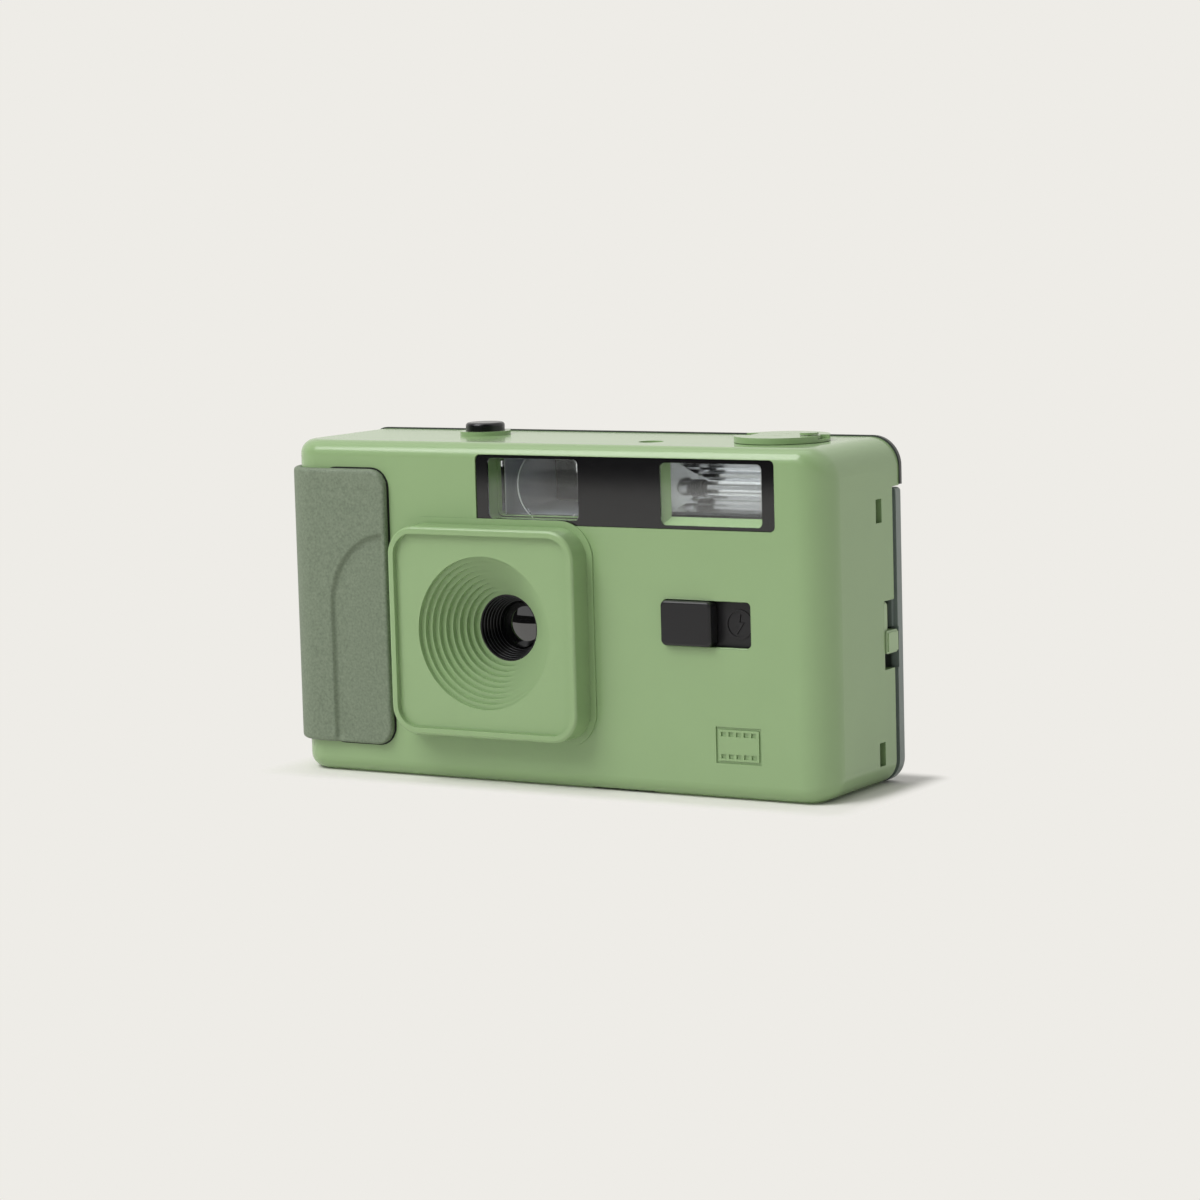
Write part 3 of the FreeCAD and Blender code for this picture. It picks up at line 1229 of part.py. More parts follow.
def make_transport():
    """Thumb wheel, sprocket, take-up spool and frame counter, with the gears between them."""
    low = "(take_up_floor + 0.3)"
    high = "(chamber_top - 0.3)"
    spool = fuse("spool_solid", [
        rod_z("spool_journal_rod", "take_up_x", "take_up_y", "take_up_floor - 2", "gear_base + gear_thick",
              "spool_journal"),
        rod_z("spool_low_flange", "take_up_x", "take_up_y", low, low + " + 1", "spool_flange"),
        rod_z("spool_barrel", "take_up_x", "take_up_y", low, high, "spool_core"),
        rod_z("spool_high_flange", "take_up_x", "take_up_y", high + " - 1", high, "spool_flange"),
    ])
    slot = box("spool_slot", "take_up_x - spool_core - 1", "take_up_x - spool_core + 2.2",
               "take_up_y - 0.5", "take_up_y + 0.5", "lens_z - gate_height / 2", "lens_z + gate_height / 2")
    node(cut("take_up_spool", spool, [slot]))
    to_spool = "sqrt((thumb_x - take_up_x)^2 + (thumb_y - take_up_y)^2)"
    to_sprocket = "sqrt((thumb_x - sprocket_x)^2 + (thumb_y - sprocket_y)^2)"
    node(make_wheel("take_up_gear", "take_up_x", "take_up_y", "gear_base", "gear_thick",
                    "%s - thumb_gear - slip" % to_spool, "spool_journal", "gear_teeth", "gear_notch"))
    node(make_wheel("sprocket_gear", "sprocket_x", "sprocket_y", "gear_base", "gear_thick",
                    "%s - thumb_gear - slip" % to_sprocket, "sprocket_shaft", "sprocket_gear_teeth",
                    "gear_notch"))
    wheel = make_wheel("thumb_rim", "thumb_x", "thumb_y", "thumb_base", "thumb_thick", "thumb_radius",
                       "thumb_post + bearing_gap", "thumb_notches", "thumb_notch")
    pinion = make_wheel("thumb_pinion", "thumb_x", "thumb_y", "gear_base", "thumb_base - gear_base",
                        "thumb_gear", "thumb_post + bearing_gap", "gear_teeth", "gear_notch")
    node(fuse("thumb_wheel", [wheel, pinion]))

    sprocket = [rod_z("sprocket_rod", "sprocket_x", "sprocket_y", "release_length + 1.8",
                      "gear_base + gear_thick", "sprocket_shaft"),
                rod_z("sprocket_drum", "sprocket_x", "sprocket_y", "sprocket_base",
                      "sprocket_base + sprocket_thick", "sprocket_radius")]
    for tooth in range(SIZES["sprocket_teeth"]):
        turn = "(%d * 360 / sprocket_teeth)" % tooth
        item = box("sprocket_tooth_%d" % tooth, "0", "sprocket_radius + sprocket_tooth", "0", "1",
                   "sprocket_base + 0.6", "sprocket_base + 1.8")
        item.Placement = FreeCAD.Placement(Vector(), Rotation(Vector(0, 0, 1), 1))
        drive(item, "Placement.Rotation.Angle", turn)
        drive(item, "Placement.Base.x", "sprocket_x + sin(%s) / 2" % turn)
        drive(item, "Placement.Base.y", deep("sprocket_y - cos(%s) / 2" % turn))
        sprocket.append(item)
    node(fuse("sprocket", sprocket))
    drum = rod_z("counter_blank", "counter_x", "counter_y", "counter_base", "counter_base + counter_height",
                 "counter_radius")
    bore = rod_z("counter_bore", "counter_x", "counter_y", "0", "body_height", "post_radius + bearing_gap")
    node(cut("frame_counter", drum, [bore]))


def make_rewind():
    """The shaft with its fork, the disc on top and the crank that folds into it."""
    disc_low = "(body_height + slip)"
    disc_top = "(%s + rewind_disc_thick)" % disc_low
    slot_floor = "(%s - crank_thick - slip)" % disc_top
    pivot = "(cassette_x - crank_pivot)"
    pivot_level = "(%s - crank_thick / 2)" % disc_top
    node(fuse("rewind_shaft", [
        rod_z("rewind_rod", "cassette_x", CASSETTE_DEPTH, "chamber_top - 0.6", slot_floor, "rewind_shaft"),
        box("rewind_fork", "cassette_x - rewind_shaft", "cassette_x + rewind_shaft",
            CASSETTE_DEPTH + " - fork_blade / 2", CASSETTE_DEPTH + " + fork_blade / 2",
            "chamber_top - fork_reach", "chamber_top"),
        rod_z("rewind_collar", "cassette_x", CASSETTE_DEPTH, "gear_base", "gear_base + 1",
              "rewind_shaft + 1.2"),
    ]))
    disc = rod_z("rewind_blank", "cassette_x", CASSETTE_DEPTH, disc_low, disc_top, "rewind_disc_radius")
    slot = box("crank_slot", "cassette_x - rewind_disc_radius - 1", "cassette_x + rewind_disc_radius + 1",
               CASSETTE_DEPTH + " - crank_width / 2 - slip", CASSETTE_DEPTH + " + crank_width / 2 + slip",
               slot_floor, disc_top + " + 1")
    bore = rod_z("disc_bore", "cassette_x", CASSETTE_DEPTH, "0", disc_top + " + 1", "rewind_shaft")
    pin = doc.addObject("Part::Cylinder", "crank_pin_hole")
    drive(pin, "Radius", "crank_pin + bearing_gap")
    drive(pin, "Height", "crank_width + 2")
    place(pin, pivot, deep(CASSETTE_DEPTH + " - crank_width / 2 - 1"), pivot_level, ALONG_Y)
    node(cut("rewind_disc", disc, [slot, bore, pin]))

    end = pivot + " + crank_reach"
    node(fuse("crank_lever", [
        box("crank_bar", pivot, end + " - crank_width / 2", CASSETTE_DEPTH + " - crank_width / 2",
            CASSETTE_DEPTH + " + crank_width / 2", slot_floor + " + slip", disc_top),
        rod_z("crank_end", end + " - crank_width / 2", CASSETTE_DEPTH, slot_floor + " + slip", disc_top,
              "crank_width / 2"),
        rod_y("crank_barrel", pivot, pivot_level, CASSETTE_DEPTH + " - crank_width / 2",
              CASSETTE_DEPTH + " + crank_width / 2", "crank_thick / 2"),
        rod_y("crank_pin", pivot, pivot_level, CASSETTE_DEPTH + " - crank_width / 2 - 0.9",
              CASSETTE_DEPTH + " + crank_width / 2 + 0.9", "crank_pin"),
        rod_z("knob_post", end + " - crank_width / 2", CASSETTE_DEPTH, disc_top + " - 0.1",
              disc_top + " + slip + crank_knob_height", "crank_pin * 1.6"),
    ]))
    knob = rod_z("knob_blank", end + " - crank_width / 2", CASSETTE_DEPTH, disc_top + " + slip",
                 disc_top + " + slip + crank_knob_height", "crank_knob_radius")
    node(cut("crank_knob", knob, [rod_z("knob_bore", end + " - crank_width / 2", CASSETTE_DEPTH, "0",
                                        "body_height * 2", "crank_pin * 1.6 + bearing_gap")]))
    node(rod_z("rewind_release_button", "sprocket_x", "sprocket_y", "0.3", "release_length",
               "release_radius"))


def make_rear_cover():
    """The dark panel behind the mechanism, with the eyepiece, the wheel slot and two small windows."""
    left, right = "-" + HALF, HALF
    radii = ("0", "0", "corner_top_right", "corner_top_left")
    panel = slab_y("rear_panel", "top_shell_back", "body_depth", left + " - rear_proud", right + " + rear_proud",
                   "rear_cover_base", "body_height + rear_proud", radii)
    inset = "(wall + slip)"
    rim_radii = ("0", "0", "corner_top_right - " + inset, "corner_top_left - " + inset)
    rim = slab_y("rear_rim", "top_shell_back - rear_cover_lip", "top_shell_back", "%s + %s" % (left, inset),
                 "%s - %s" % (right, inset), "rear_cover_base", "body_height - " + inset, rim_radii)
    room = slab_y("rear_rim_room", "top_shell_back - rear_cover_lip - 1", "top_shell_back",
                  "%s + %s + rim_wall" % (left, inset), "%s - %s - rim_wall" % (right, inset),
                  "rear_cover_base + rim_wall", "body_height - %s - rim_wall" % inset,
                  ("0", "0", "corner_top_right - %s - rim_wall" % inset, "0"))
    chord = "sqrt(thumb_radius^2 - (top_shell_back - thumb_y)^2)"
    pane_low = "counter_base + 1"
    pane_high = "counter_base + counter_height - 1"
    tools = [
        box("eyepiece_hole", EYE_X + " - eyepiece_width / 2", EYE_X + " + eyepiece_width / 2",
            "top_shell_back - 1", "body_depth + 1", EYE_Z + " - eyepiece_height / 2",
            EYE_Z + " + eyepiece_height / 2"),
        box("thumb_slot", "thumb_x - %s - 0.6" % chord, "thumb_x + %s + 0.6" % chord, "top_shell_back - 1",
            "body_depth + 1", "thumb_base - knob_gap", "thumb_base + thumb_thick + knob_gap"),
        box("counter_hole", "counter_x - counter_radius / 2", "counter_x + counter_radius / 2",
            "top_shell_back - 1", "body_depth + 1", pane_low, pane_high),
        rod_y("lamp_hole", "lamp_x", "lamp_level", "top_shell_back - 1", "body_depth + 1",
              "lamp_radius + slip"),
    ]
    solid = fuse("rear_cover_solid", [panel, cut("rear_rim_ring", rim, [room])])
    node(cut("rear_cover", solid, tools))
    node(box("counter_window", "counter_x - counter_radius / 2 - 0.5", "counter_x + counter_radius / 2 + 0.5",
             "top_shell_back - pane_thick", "top_shell_back", pane_low + " - 0.5", pane_high + " + 0.5"))


def make_door_parts():
    """The back door with its knuckle and hook, and what is fixed to it."""
    left = HINGE_X
    body = doc.addObject("PartDesign::Body", "door_block")
    sketch = body_sketch(body, "XZ_Plane", "-(%s)" % deep("body_depth"))
    draw_round_rectangle(sketch, left, HALF + " + rear_proud", "0", "door_top",
                         ("0", "corner_bottom_right", "door_corner", "0"))
    pad = body.newObject("PartDesign::Pad", "door_pad")
    pad.Profile = sketch
    drive(pad, "Length", "body_depth - " + DOOR_EDGE)
    doc.recompute()
    back, hinge = value(deep("body_depth")), value(left)
    names = edges_of(pad.Shape, lambda point: abs(point.y - back) < TOUCH)
    hinge_edge = edges_of(pad.Shape, lambda point: abs(point.y - back) < TOUCH and point.x < hinge + 1e-4)
    names = [name for name in names if name not in hinge_edge]
    body_fillet(body, pad, names, "door_round")
    step = slab_y("door_step_ring", DOOR_FRONT, DOOR_EDGE, left, "%s - door_step" % HALF, "door_step",
                  "door_top - door_step", ("0", "corner_bottom_right - door_step", "0", "0"))
    room = slab_y("door_room", DOOR_FRONT + " - 1", DOOR_INSIDE, left + " - 5", "%s - door_rim" % HALF,
                  "door_rim", "door_top - door_rim",
                  ("0", "corner_bottom_right - door_rim", "0", "0"))
    ear_right = HINGE_X + " + knuckle_radius + ear_gap"
    shape = cut("door_tray", fuse("door_tray_solid", [body, step]), [
        room,
        box("ear_way_low", "-body_width", ear_right, "0", "body_depth + 1", "-1", EAR_REACH),
        box("ear_way_high", "-body_width", ear_right, "0", "body_depth + 1", "door_top - " + EAR_REACH,
            "body_height"),
    ])
    knuckle = rod_z("door_knuckle", HINGE_X, HINGE_DEPTH, EAR_REACH, "door_top - " + EAR_REACH,
                    "knuckle_radius")
    hook = box("door_hook", LATCH_IN, LATCH_IN + " + latch_plate", DOOR_FRONT + " + 0.3",
               DOOR_INSIDE + " + 0.2", NOSE_TOP + " + 0.3", NOSE_TOP + " + 3.3")
    window = ("cassette_x - window_width / 2", "cassette_x + window_width / 2",
              "lens_z - window_height / 2", "lens_z + window_height / 2", ("1",) * 4)
    tools = [
        rod_z("knuckle_bore", HINGE_X, HINGE_DEPTH, "0", "body_height", "pin_radius + bearing_gap"),
        slab_y("window_opening", DOOR_INSIDE + " - 1", "body_depth + 1", *window),
        box("latch_notch", INSIDE + " - 0.5", HALF + " + 1", "shell_back", DOOR_FRONT + " + 1",
            "latch_tab_base - latch_travel - 0.3", "latch_tab_base + latch_tab_height + 0.3"),
    ]
    node(cut("back_door", fuse("door_solid", [shape, knuckle, hook]), tools))
    node(slab_y("cassette_window", "body_depth - pane_thick - seam", "body_depth - seam", *window))
    node(rod_z("hinge_pin", HINGE_X, HINGE_DEPTH, "ear_base", "door_top - ear_base", "pin_radius"))

    plate_back = "(film_plane + 0.3 + plate_thick)"
    node(slab_y("pressure_plate", "film_plane + 0.3", plate_back, "lens_x - plate_width / 2",
                "lens_x + plate_width / 2", "lens_z - plate_height / 2", "lens_z + plate_height / 2",
                ("1.5",) * 4))
    sag = "(%s - %s)" % (DOOR_INSIDE, plate_back)
    bend = "((leaf_chord^2 / 4 + %s^2) / (2 * %s))" % (sag, sag)
    outer = rod_z("leaf_outer", "lens_x", "%s - %s" % (DOOR_INSIDE, bend), "0", "body_height", bend)
    inner = rod_z("leaf_inner", "lens_x", "%s - %s" % (DOOR_INSIDE, bend), "-1", "body_height + 1",
                  "%s - leaf_thick" % bend)
    limit = box("leaf_limit", "lens_x - leaf_chord / 2", "lens_x + leaf_chord / 2", plate_back, DOOR_INSIDE,
                "lens_z - leaf_width / 2", "lens_z + leaf_width / 2")
    node(common("pressure_spring", cut("leaf_tube", outer, [inner]), limit))
    node(box("door_seal", HINGE_X + " + knuckle_radius + 0.6", HINGE_X + " + knuckle_radius + 1.8",
             DOOR_FRONT + " + 0.2", DOOR_INSIDE, EAR_REACH + " + 1", "door_top - %s - 1" % EAR_REACH))


def make_latch():
    """The latch that slides down in the side opening to free the door, and its spring."""
    outer = LATCH_IN + " + latch_plate"
    slide_back = "(latch_slot_front + 1.7)"
    tab_top = "latch_tab_base + latch_tab_height"
    node(fuse("door_latch", [
        box("latch_slide", LATCH_IN, outer, "latch_slot_front - 1.7", slide_back, "latch_tab_base", NOSE_TOP),
        box("latch_stem", outer + " - 0.3", HALF + " - latch_stem_sunk", "latch_slot_front + 0.3",
            "shell_back - slip", tab_top + " - 1", "latch_slot_top - 0.1"),
        box("latch_tab", outer + " - 0.3", HALF + " + latch_tab_proud", "latch_slot_front + 0.3",
            DOOR_FRONT + " + 0.7", "latch_tab_base", tab_top),
        box("latch_nose", LATCH_IN, outer, slide_back + " - 0.5", DOOR_FRONT + " + 1.4", NOSE_LOW, NOSE_TOP),
    ]))
    make_coil("latch_spring", LATCH_IN + " + latch_plate / 2", "latch_slot_front", NOSE_TOP,
              "(latch_slot_top + 10)", "(latch_plate / 2 - spring_wire / 2)")


def make_battery_parts():
    top = "(battery_base + battery_length)"
    node(fuse("battery", [
        rod_z("battery_can", "battery_x", "battery_y", "battery_base", top + " - 1", "battery_radius"),
        rod_z("battery_nub", "battery_x", "battery_y", top + " - 1", top, "battery_radius * 0.36"),
    ]))
    node(rod_z("battery_contact", "battery_x", "battery_y", top, top + " + 0.6", "battery_radius * 0.7"))
    hinge_depth = "(battery_y + battery_door_half - battery_door_thick / 2)"
    hinge_level = "(hatch_sunk + battery_door_thick / 2)"
    low = "hatch_sunk"
    high = "hatch_sunk + battery_door_thick"
    left = "battery_x - battery_door_half"
    right = "battery_x + battery_door_half"
    plate = box("battery_door_plate", left, right, "battery_y - battery_door_half", hinge_depth, low, high)
    barrel = rod_x("battery_door_barrel", hinge_depth, hinge_level, left, right, "battery_door_thick / 2")
    pins = rod_x("battery_door_pins", hinge_depth, hinge_level, left + " - 0.9", right + " + 0.9",
                 "hatch_pin")
    notch = rod_z("battery_door_notch", "battery_x", "battery_y - battery_door_half", "-1", "hatch_sunk + 0.5",
                  "1.6")
    node(cut("battery_door", fuse("battery_door_solid", [plate, barrel, pins]), [notch]))
    spring = rod_z("contact_spring_blank", "battery_x", "battery_y", high, "battery_base",
                   "battery_radius * 0.7", "battery_radius * 0.4")
    hollow = rod_z("contact_spring_hollow", "battery_x", "battery_y", "0", "battery_base + 1",
                   "battery_radius * 0.4 - spring_wire")
    node(cut("battery_spring", spring, [hollow]))


def main():
    make_front_cover()
    make_lens_surround()
    make_grip_cover()
    make_window_parts()
    make_flash_parts()
    make_switch_parts()
    make_lens_parts()
    make_film_chassis()
    make_screws()
    make_shutter()
    make_shutter_button()
    make_transport()
    make_rewind()
    make_rear_cover()
    make_door_parts()
    make_latch()
    make_battery_parts()
    doc.recompute()
    for item in doc.Objects:
        if "Invalid" in item.State or "Error" in item.State:
            raise RuntimeError("%s failed" % item.Label)
    os.makedirs("parts", exist_ok=True)
    for label, item in nodes.items():
        if item.Shape.isNull() or not item.Shape.isValid():
            raise RuntimeError("%s has no sound shape" % label)
        item.Shape.exportStep(os.path.join("parts", label + ".step"))
    print("%d sub-parts written" % len(nodes))


main()
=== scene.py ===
# Compact 35 mm film camera, in metres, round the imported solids.
# X runs from the grip to the rewind side, Y from the lens to the back door, Z up.
import math
import bmesh
import bpy
from mathutils import Matrix, Vector


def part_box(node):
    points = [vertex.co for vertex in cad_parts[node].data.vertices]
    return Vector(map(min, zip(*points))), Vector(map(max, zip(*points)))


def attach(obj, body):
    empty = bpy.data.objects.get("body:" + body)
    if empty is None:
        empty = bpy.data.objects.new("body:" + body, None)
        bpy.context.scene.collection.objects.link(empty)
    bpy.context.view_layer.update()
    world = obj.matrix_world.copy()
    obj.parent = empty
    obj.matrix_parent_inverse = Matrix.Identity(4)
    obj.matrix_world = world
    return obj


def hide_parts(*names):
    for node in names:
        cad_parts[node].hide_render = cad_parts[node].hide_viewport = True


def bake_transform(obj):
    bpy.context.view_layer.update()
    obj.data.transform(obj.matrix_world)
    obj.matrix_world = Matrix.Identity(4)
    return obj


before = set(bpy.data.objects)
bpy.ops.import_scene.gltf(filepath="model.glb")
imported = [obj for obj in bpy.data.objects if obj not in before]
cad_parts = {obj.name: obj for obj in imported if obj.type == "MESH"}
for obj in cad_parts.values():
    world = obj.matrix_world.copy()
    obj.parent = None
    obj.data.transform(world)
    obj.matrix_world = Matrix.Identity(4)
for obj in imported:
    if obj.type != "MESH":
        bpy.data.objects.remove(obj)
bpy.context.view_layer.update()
MM = 0.001

# The photograph's camera, found from the body's corners: place in metres, angles in degrees.
CAMERA_PLACE = (0.34616, -0.57405, 0.11354)
CAMERA_YAW = 30.946
CAMERA_PITCH = 6.869
CAMERA_ROLL = -1.555
FOCAL_PIXELS = 3628.26
PHOTO_PIXELS = 1200
SENSOR_WIDTH = 36.0

# The front face's place on Y. Sizes are in millimetres from here on, unless they are times MM.
FRONT = -15.0


def linear(code):
    """An sRGB hex colour as the linear values that a shader takes."""
    parts = [int(code[start:start + 2], 16) / 255 for start in (1, 3, 5)]
    return tuple(part / 12.92 if part <= 0.04045 else ((part + 0.055) / 1.055) ** 2.4
                 for part in parts) + (1.0,)


def add(tree, kind, inputs=None, **settings):
    """Add one node to a tree. An input is a value, or a node and the name or number of its output."""
    node = tree.nodes.new(kind)
    for name, setting in settings.items():
        setattr(node, name, setting)
    for name, given in (inputs or {}).items():
        if isinstance(given, tuple) and isinstance(given[0], bpy.types.Node):
            tree.links.new(given[0].outputs[given[1]], node.inputs[name])
        else:
            node.inputs[name].default_value = given
    return node


def blank_material(name):
    material = bpy.data.materials.new(name)
    material.use_nodes = True
    material.node_tree.nodes.clear()
    return material, material.node_tree


def finish(name, colour, tone, gloss, grain, depth, stretch=(1, 1, 1), cloud=9.0, **sockets):
    """A surface with a fine grain in its bump and gloss, and a faint cloud between two near tones.

    Gloss is the lowest and highest roughness, grain and depth are the size and height of the
    grain in millimetres, and cloud is the size of the patches of tone."""
    material, tree = blank_material(name)
    where = add(tree, "ShaderNodeTexCoord")
    along = add(tree, "ShaderNodeMapping", {"Vector": (where, "Object"), "Scale": stretch})
    grains = add(tree, "ShaderNodeTexNoise", {"Vector": (along, "Vector"), "Scale": 1 / (grain * MM),
                                              "Detail": 2.0, "Roughness": 0.6})
    patches = add(tree, "ShaderNodeTexNoise", {"Vector": (where, "Object"), "Scale": 1 / (cloud * MM),
                                               "Detail": 3.0})
    tones = add(tree, "ShaderNodeMix", {0: (patches, "Fac"), 6: linear(colour), 7: linear(tone)},
                data_type="RGBA")
    level = add(tree, "ShaderNodeMapRange", {"Value": (grains, "Fac"), "To Min": gloss[0], "To Max": gloss[1]})
    relief = add(tree, "ShaderNodeBump", {"Height": (grains, "Fac"), "Distance": depth * MM, "Strength": 1.0})
    shader = add(tree, "ShaderNodeBsdfPrincipled", {"Base Color": (tones, 2), "Roughness": (level, "Result"),
                                                    "Normal": (relief, "Normal")})
    for socket, setting in sockets.items():
        shader.inputs[socket.replace("_", " ")].default_value = setting
    add(tree, "ShaderNodeOutputMaterial", {"Surface": (shader, "BSDF")})
    return material


# ABS from a spark-eroded mould: satin sage green, with a grain of about 0.1 mm, drawn at 0.3 mm to show.
body_green = finish("satin_green_moulded_ABS", "#93AF7E", "#90AC7B", (0.16, 0.23), 0.3, 0.004, IOR=1.54)
# The same ABS on the moving green pieces.
trim_green = finish("satin_green_moulded_ABS_trim", "#95B07F", "#91AC7C", (0.16, 0.23), 0.3, 0.004, IOR=1.54)
# A lighter green ABS, as on the latch tab.
latch_green = finish("light_green_moulded_ABS", "#A5BE92", "#A1BA8E", (0.3, 0.38), 0.3, 0.005, IOR=1.54)
# Soft-touch thermoplastic elastomer over ABS: matt grey-green, with a leathery grain of about 0.5 mm.
grip_skin = finish("grained_soft_touch_TPE", "#56634F", "#8C9983", (0.5, 0.66), 0.45, 0.05, cloud=0.45)
# Painted shadow: a dark strip that stands for the shade in the gap round the grip.
gap_shadow_black = finish("painted_shadow_in_grip_gap", "#20261D", "#1C2119", (0.6, 0.7), 0.4, 0.004)
# ABS in a darker grey-green, as on the door.
door_grey = finish("satin_grey_green_moulded_ABS", "#7B8682", "#76817D", (0.3, 0.4), 0.3, 0.008, IOR=1.54)
# Rear cover, near black, from the same spark-eroded mould.
rear_grey = finish("satin_dark_moulded_ABS", "#3A3F3D", "#373B3A", (0.34, 0.44), 0.3, 0.008, IOR=1.54)
# Back-printed acrylic: deep black under a polished clear face.
strip_black = finish("polished_black_acrylic", "#101012", "#0E0E10", (0.05, 0.08), 1.5, 0.0006, Coat_Weight=0.4,
                     Coat_Roughness=0.03)
# ABS polished in the mould, as on the shutter button.
button_black = finish("polished_black_ABS", "#101012", "#0E0E10", (0.2, 0.28), 0.8, 0.001)
# ABS with a light spark finish, as on the switch knob.
knob_black = finish("satin_black_moulded_ABS", "#1E1D20", "#1B1A1D", (0.3, 0.38), 0.3, 0.006)
# Polystyrene for the inside, dull so that it throws no light on the film.
inside_black = finish("matt_black_polystyrene", "#161617", "#131314", (0.6, 0.72), 0.5, 0.01)
# The finder's liner, a pale grey that keeps its picture bright.
finder_grey = finish("matt_grey_polystyrene", "#D2D2D8", "#CBCBD1", (0.4, 0.5), 0.5, 0.006)
# The lens barrel, with the gloss of a fine turned mould.
barrel_black = finish("fine_ridged_black_ABS", "#070708", "#060607", (0.14, 0.2), 0.4, 0.001)
# The barrel's lips, a little lighter than the wells between them: a painted highlight along their edges.
lip_painted_highlight_black = finish("black_ABS_painted_lip_highlight", "#2C2C30", "#262629", (0.12, 0.18), 0.4, 0.001)
# Acetal, slightly waxy, as on small gears.
gear_white = finish("natural_acetal", "#DAD8CF", "#D3D0C6", (0.35, 0.45), 0.6, 0.004)
# Vacuum-plated reflector: bright aluminium with a faint ripple from the moulding below it.
plated = finish("vacuum_plated_aluminium", "#F2F3F5", "#ECEDF0", (0.16, 0.24), 1.8, 0.006, Metallic=1.0)
# Cold-drawn spring wire.
spring_steel = finish("drawn_spring_steel", "#A9AAAD", "#9FA0A3", (0.25, 0.35), 0.15, 0.002, Metallic=1.0)
# Zinc-plated screws with a faint yellow passivation.
zinc = finish("zinc_plated_steel", "#B9B7AC", "#AEADA4", (0.28, 0.4), 0.25, 0.003, Metallic=1.0)
# Chemically blackened sheet steel, with the rolling direction along X.
blackened = finish("blackened_sheet_steel", "#202123", "#1B1C1E", (0.35, 0.5), 0.25, 0.003, (0.1, 1, 1),
                   Metallic=0.6)
# Nickel-plated contacts.
nickel = finish("nickel_plated_steel", "#C4BFB2", "#B8B3A7", (0.18, 0.28), 0.3, 0.002, Metallic=1.0)
# Foam light seal with open cells of about 0.4 mm.
seal_foam = finish("open_cell_black_foam", "#151515", "#0E0E0E", (0.85, 0.95), 0.4, 0.12)
# Glass-cloth circuit board under solder mask; the weave shows faintly.
board_green = finish("solder_masked_circuit_board", "#1F5B38", "#236440", (0.25, 0.38), 0.5, 0.006, cloud=2.0)
# Silicone sleeve on the flash tube's end.
sleeve_grey = finish("grey_silicone_sleeve", "#454346", "#3E3D3F", (0.35, 0.45), 0.5, 0.004)
# Shrink sleeve of the capacitor.
sleeve_navy = finish("heat_shrunk_PVC_sleeve", "#1A1F2E", "#171B28", (0.2, 0.3), 1.2, 0.01)
# Enamelled copper wire.
copper = finish("enamelled_copper_wire", "#A5592B", "#934A20", (0.2, 0.32), 0.12, 0.004, (1, 1, 1), 3.0,
                Metallic=0.9)
# Painted steel jacket of a plain cell.
cell_jacket = finish("lacquered_steel_jacket", "#4B5256", "#464C50", (0.22, 0.3), 0.8, 0.002)
# Amber lamp of tinted polystyrene.
lamp_amber = finish("amber_tinted_polystyrene", "#E0641C", "#D65A16", (0.1, 0.16), 1.0, 0.002,
                    Transmission_Weight=0.5, IOR=1.57)


def clear(name, colour, rough, ior, wave, depth):
    """A clear moulding with the faint swell that a mould leaves in a polished face; lamps shine through it."""
    material, tree = blank_material(name)
    where = add(tree, "ShaderNodeTexCoord")
    swell = add(tree, "ShaderNodeTexNoise",
                {"Vector": (where, "Object"), "Scale": 1 / (wave * MM), "Detail": 1.0})
    relief = add(tree, "ShaderNodeBump",
                 {"Height": (swell, "Fac"), "Distance": depth * MM, "Strength": 1.0})
    shader = add(tree, "ShaderNodeBsdfPrincipled",
                 {"Base Color": linear(colour), "Roughness": rough, "IOR": ior,
                  "Transmission Weight": 1.0, "Normal": (relief, "Normal")})
    light_way = add(tree, "ShaderNodeBsdfTransparent", {"Color": linear(colour)})
    rays = add(tree, "ShaderNodeLightPath")
    passing = add(tree, "ShaderNodeMixShader", {0: (rays, "Is Shadow Ray"), 1: (shader, "BSDF"),
                                                2: (light_way, "BSDF")})
    add(tree, "ShaderNodeOutputMaterial", {"Surface": (passing, "Shader")})
    return material


# Acrylic windows, IOR 1.49.
clear_acrylic = clear("clear_moulded_acrylic", "#F7F9F8", 0.01, 1.49, 6.0, 0.002)
flash_acrylic = clear("ribbed_clear_acrylic", "#FAFBFC", 0.015, 1.49, 5.0, 0.003)
# The taking lens: dense glass, IOR 1.75, that reflects hard and is dark against the closed shutter behind it.
coated_glass = finish("polished_flint_glass_over_black", "#08080A", "#0A0A0D", (0.02, 0.03), 3.0, 0.0002,
                      IOR=1.75, Coat_Weight=1.0, Coat_Roughness=0.02, Coat_IOR=1.6)
# Whitish strips on the rim of the finder's lens and on the plate's shoulder: painted highlights.
lens_edge_painted_highlight = finish("painted_highlight_lens_edge", "#D9DBE0", "#D0D2D8", (0.3, 0.4), 0.4, 0.003,
                        Transmission_Weight=0.25, IOR=1.49)
lens_acrylic = clear("polished_optical_acrylic", "#F1F3F8", 0.0, 1.49, 8.0, 0.0004)
tube_glass = clear("borosilicate_glass_tube", "#FBFCFC", 0.0, 1.47, 4.0, 0.001)

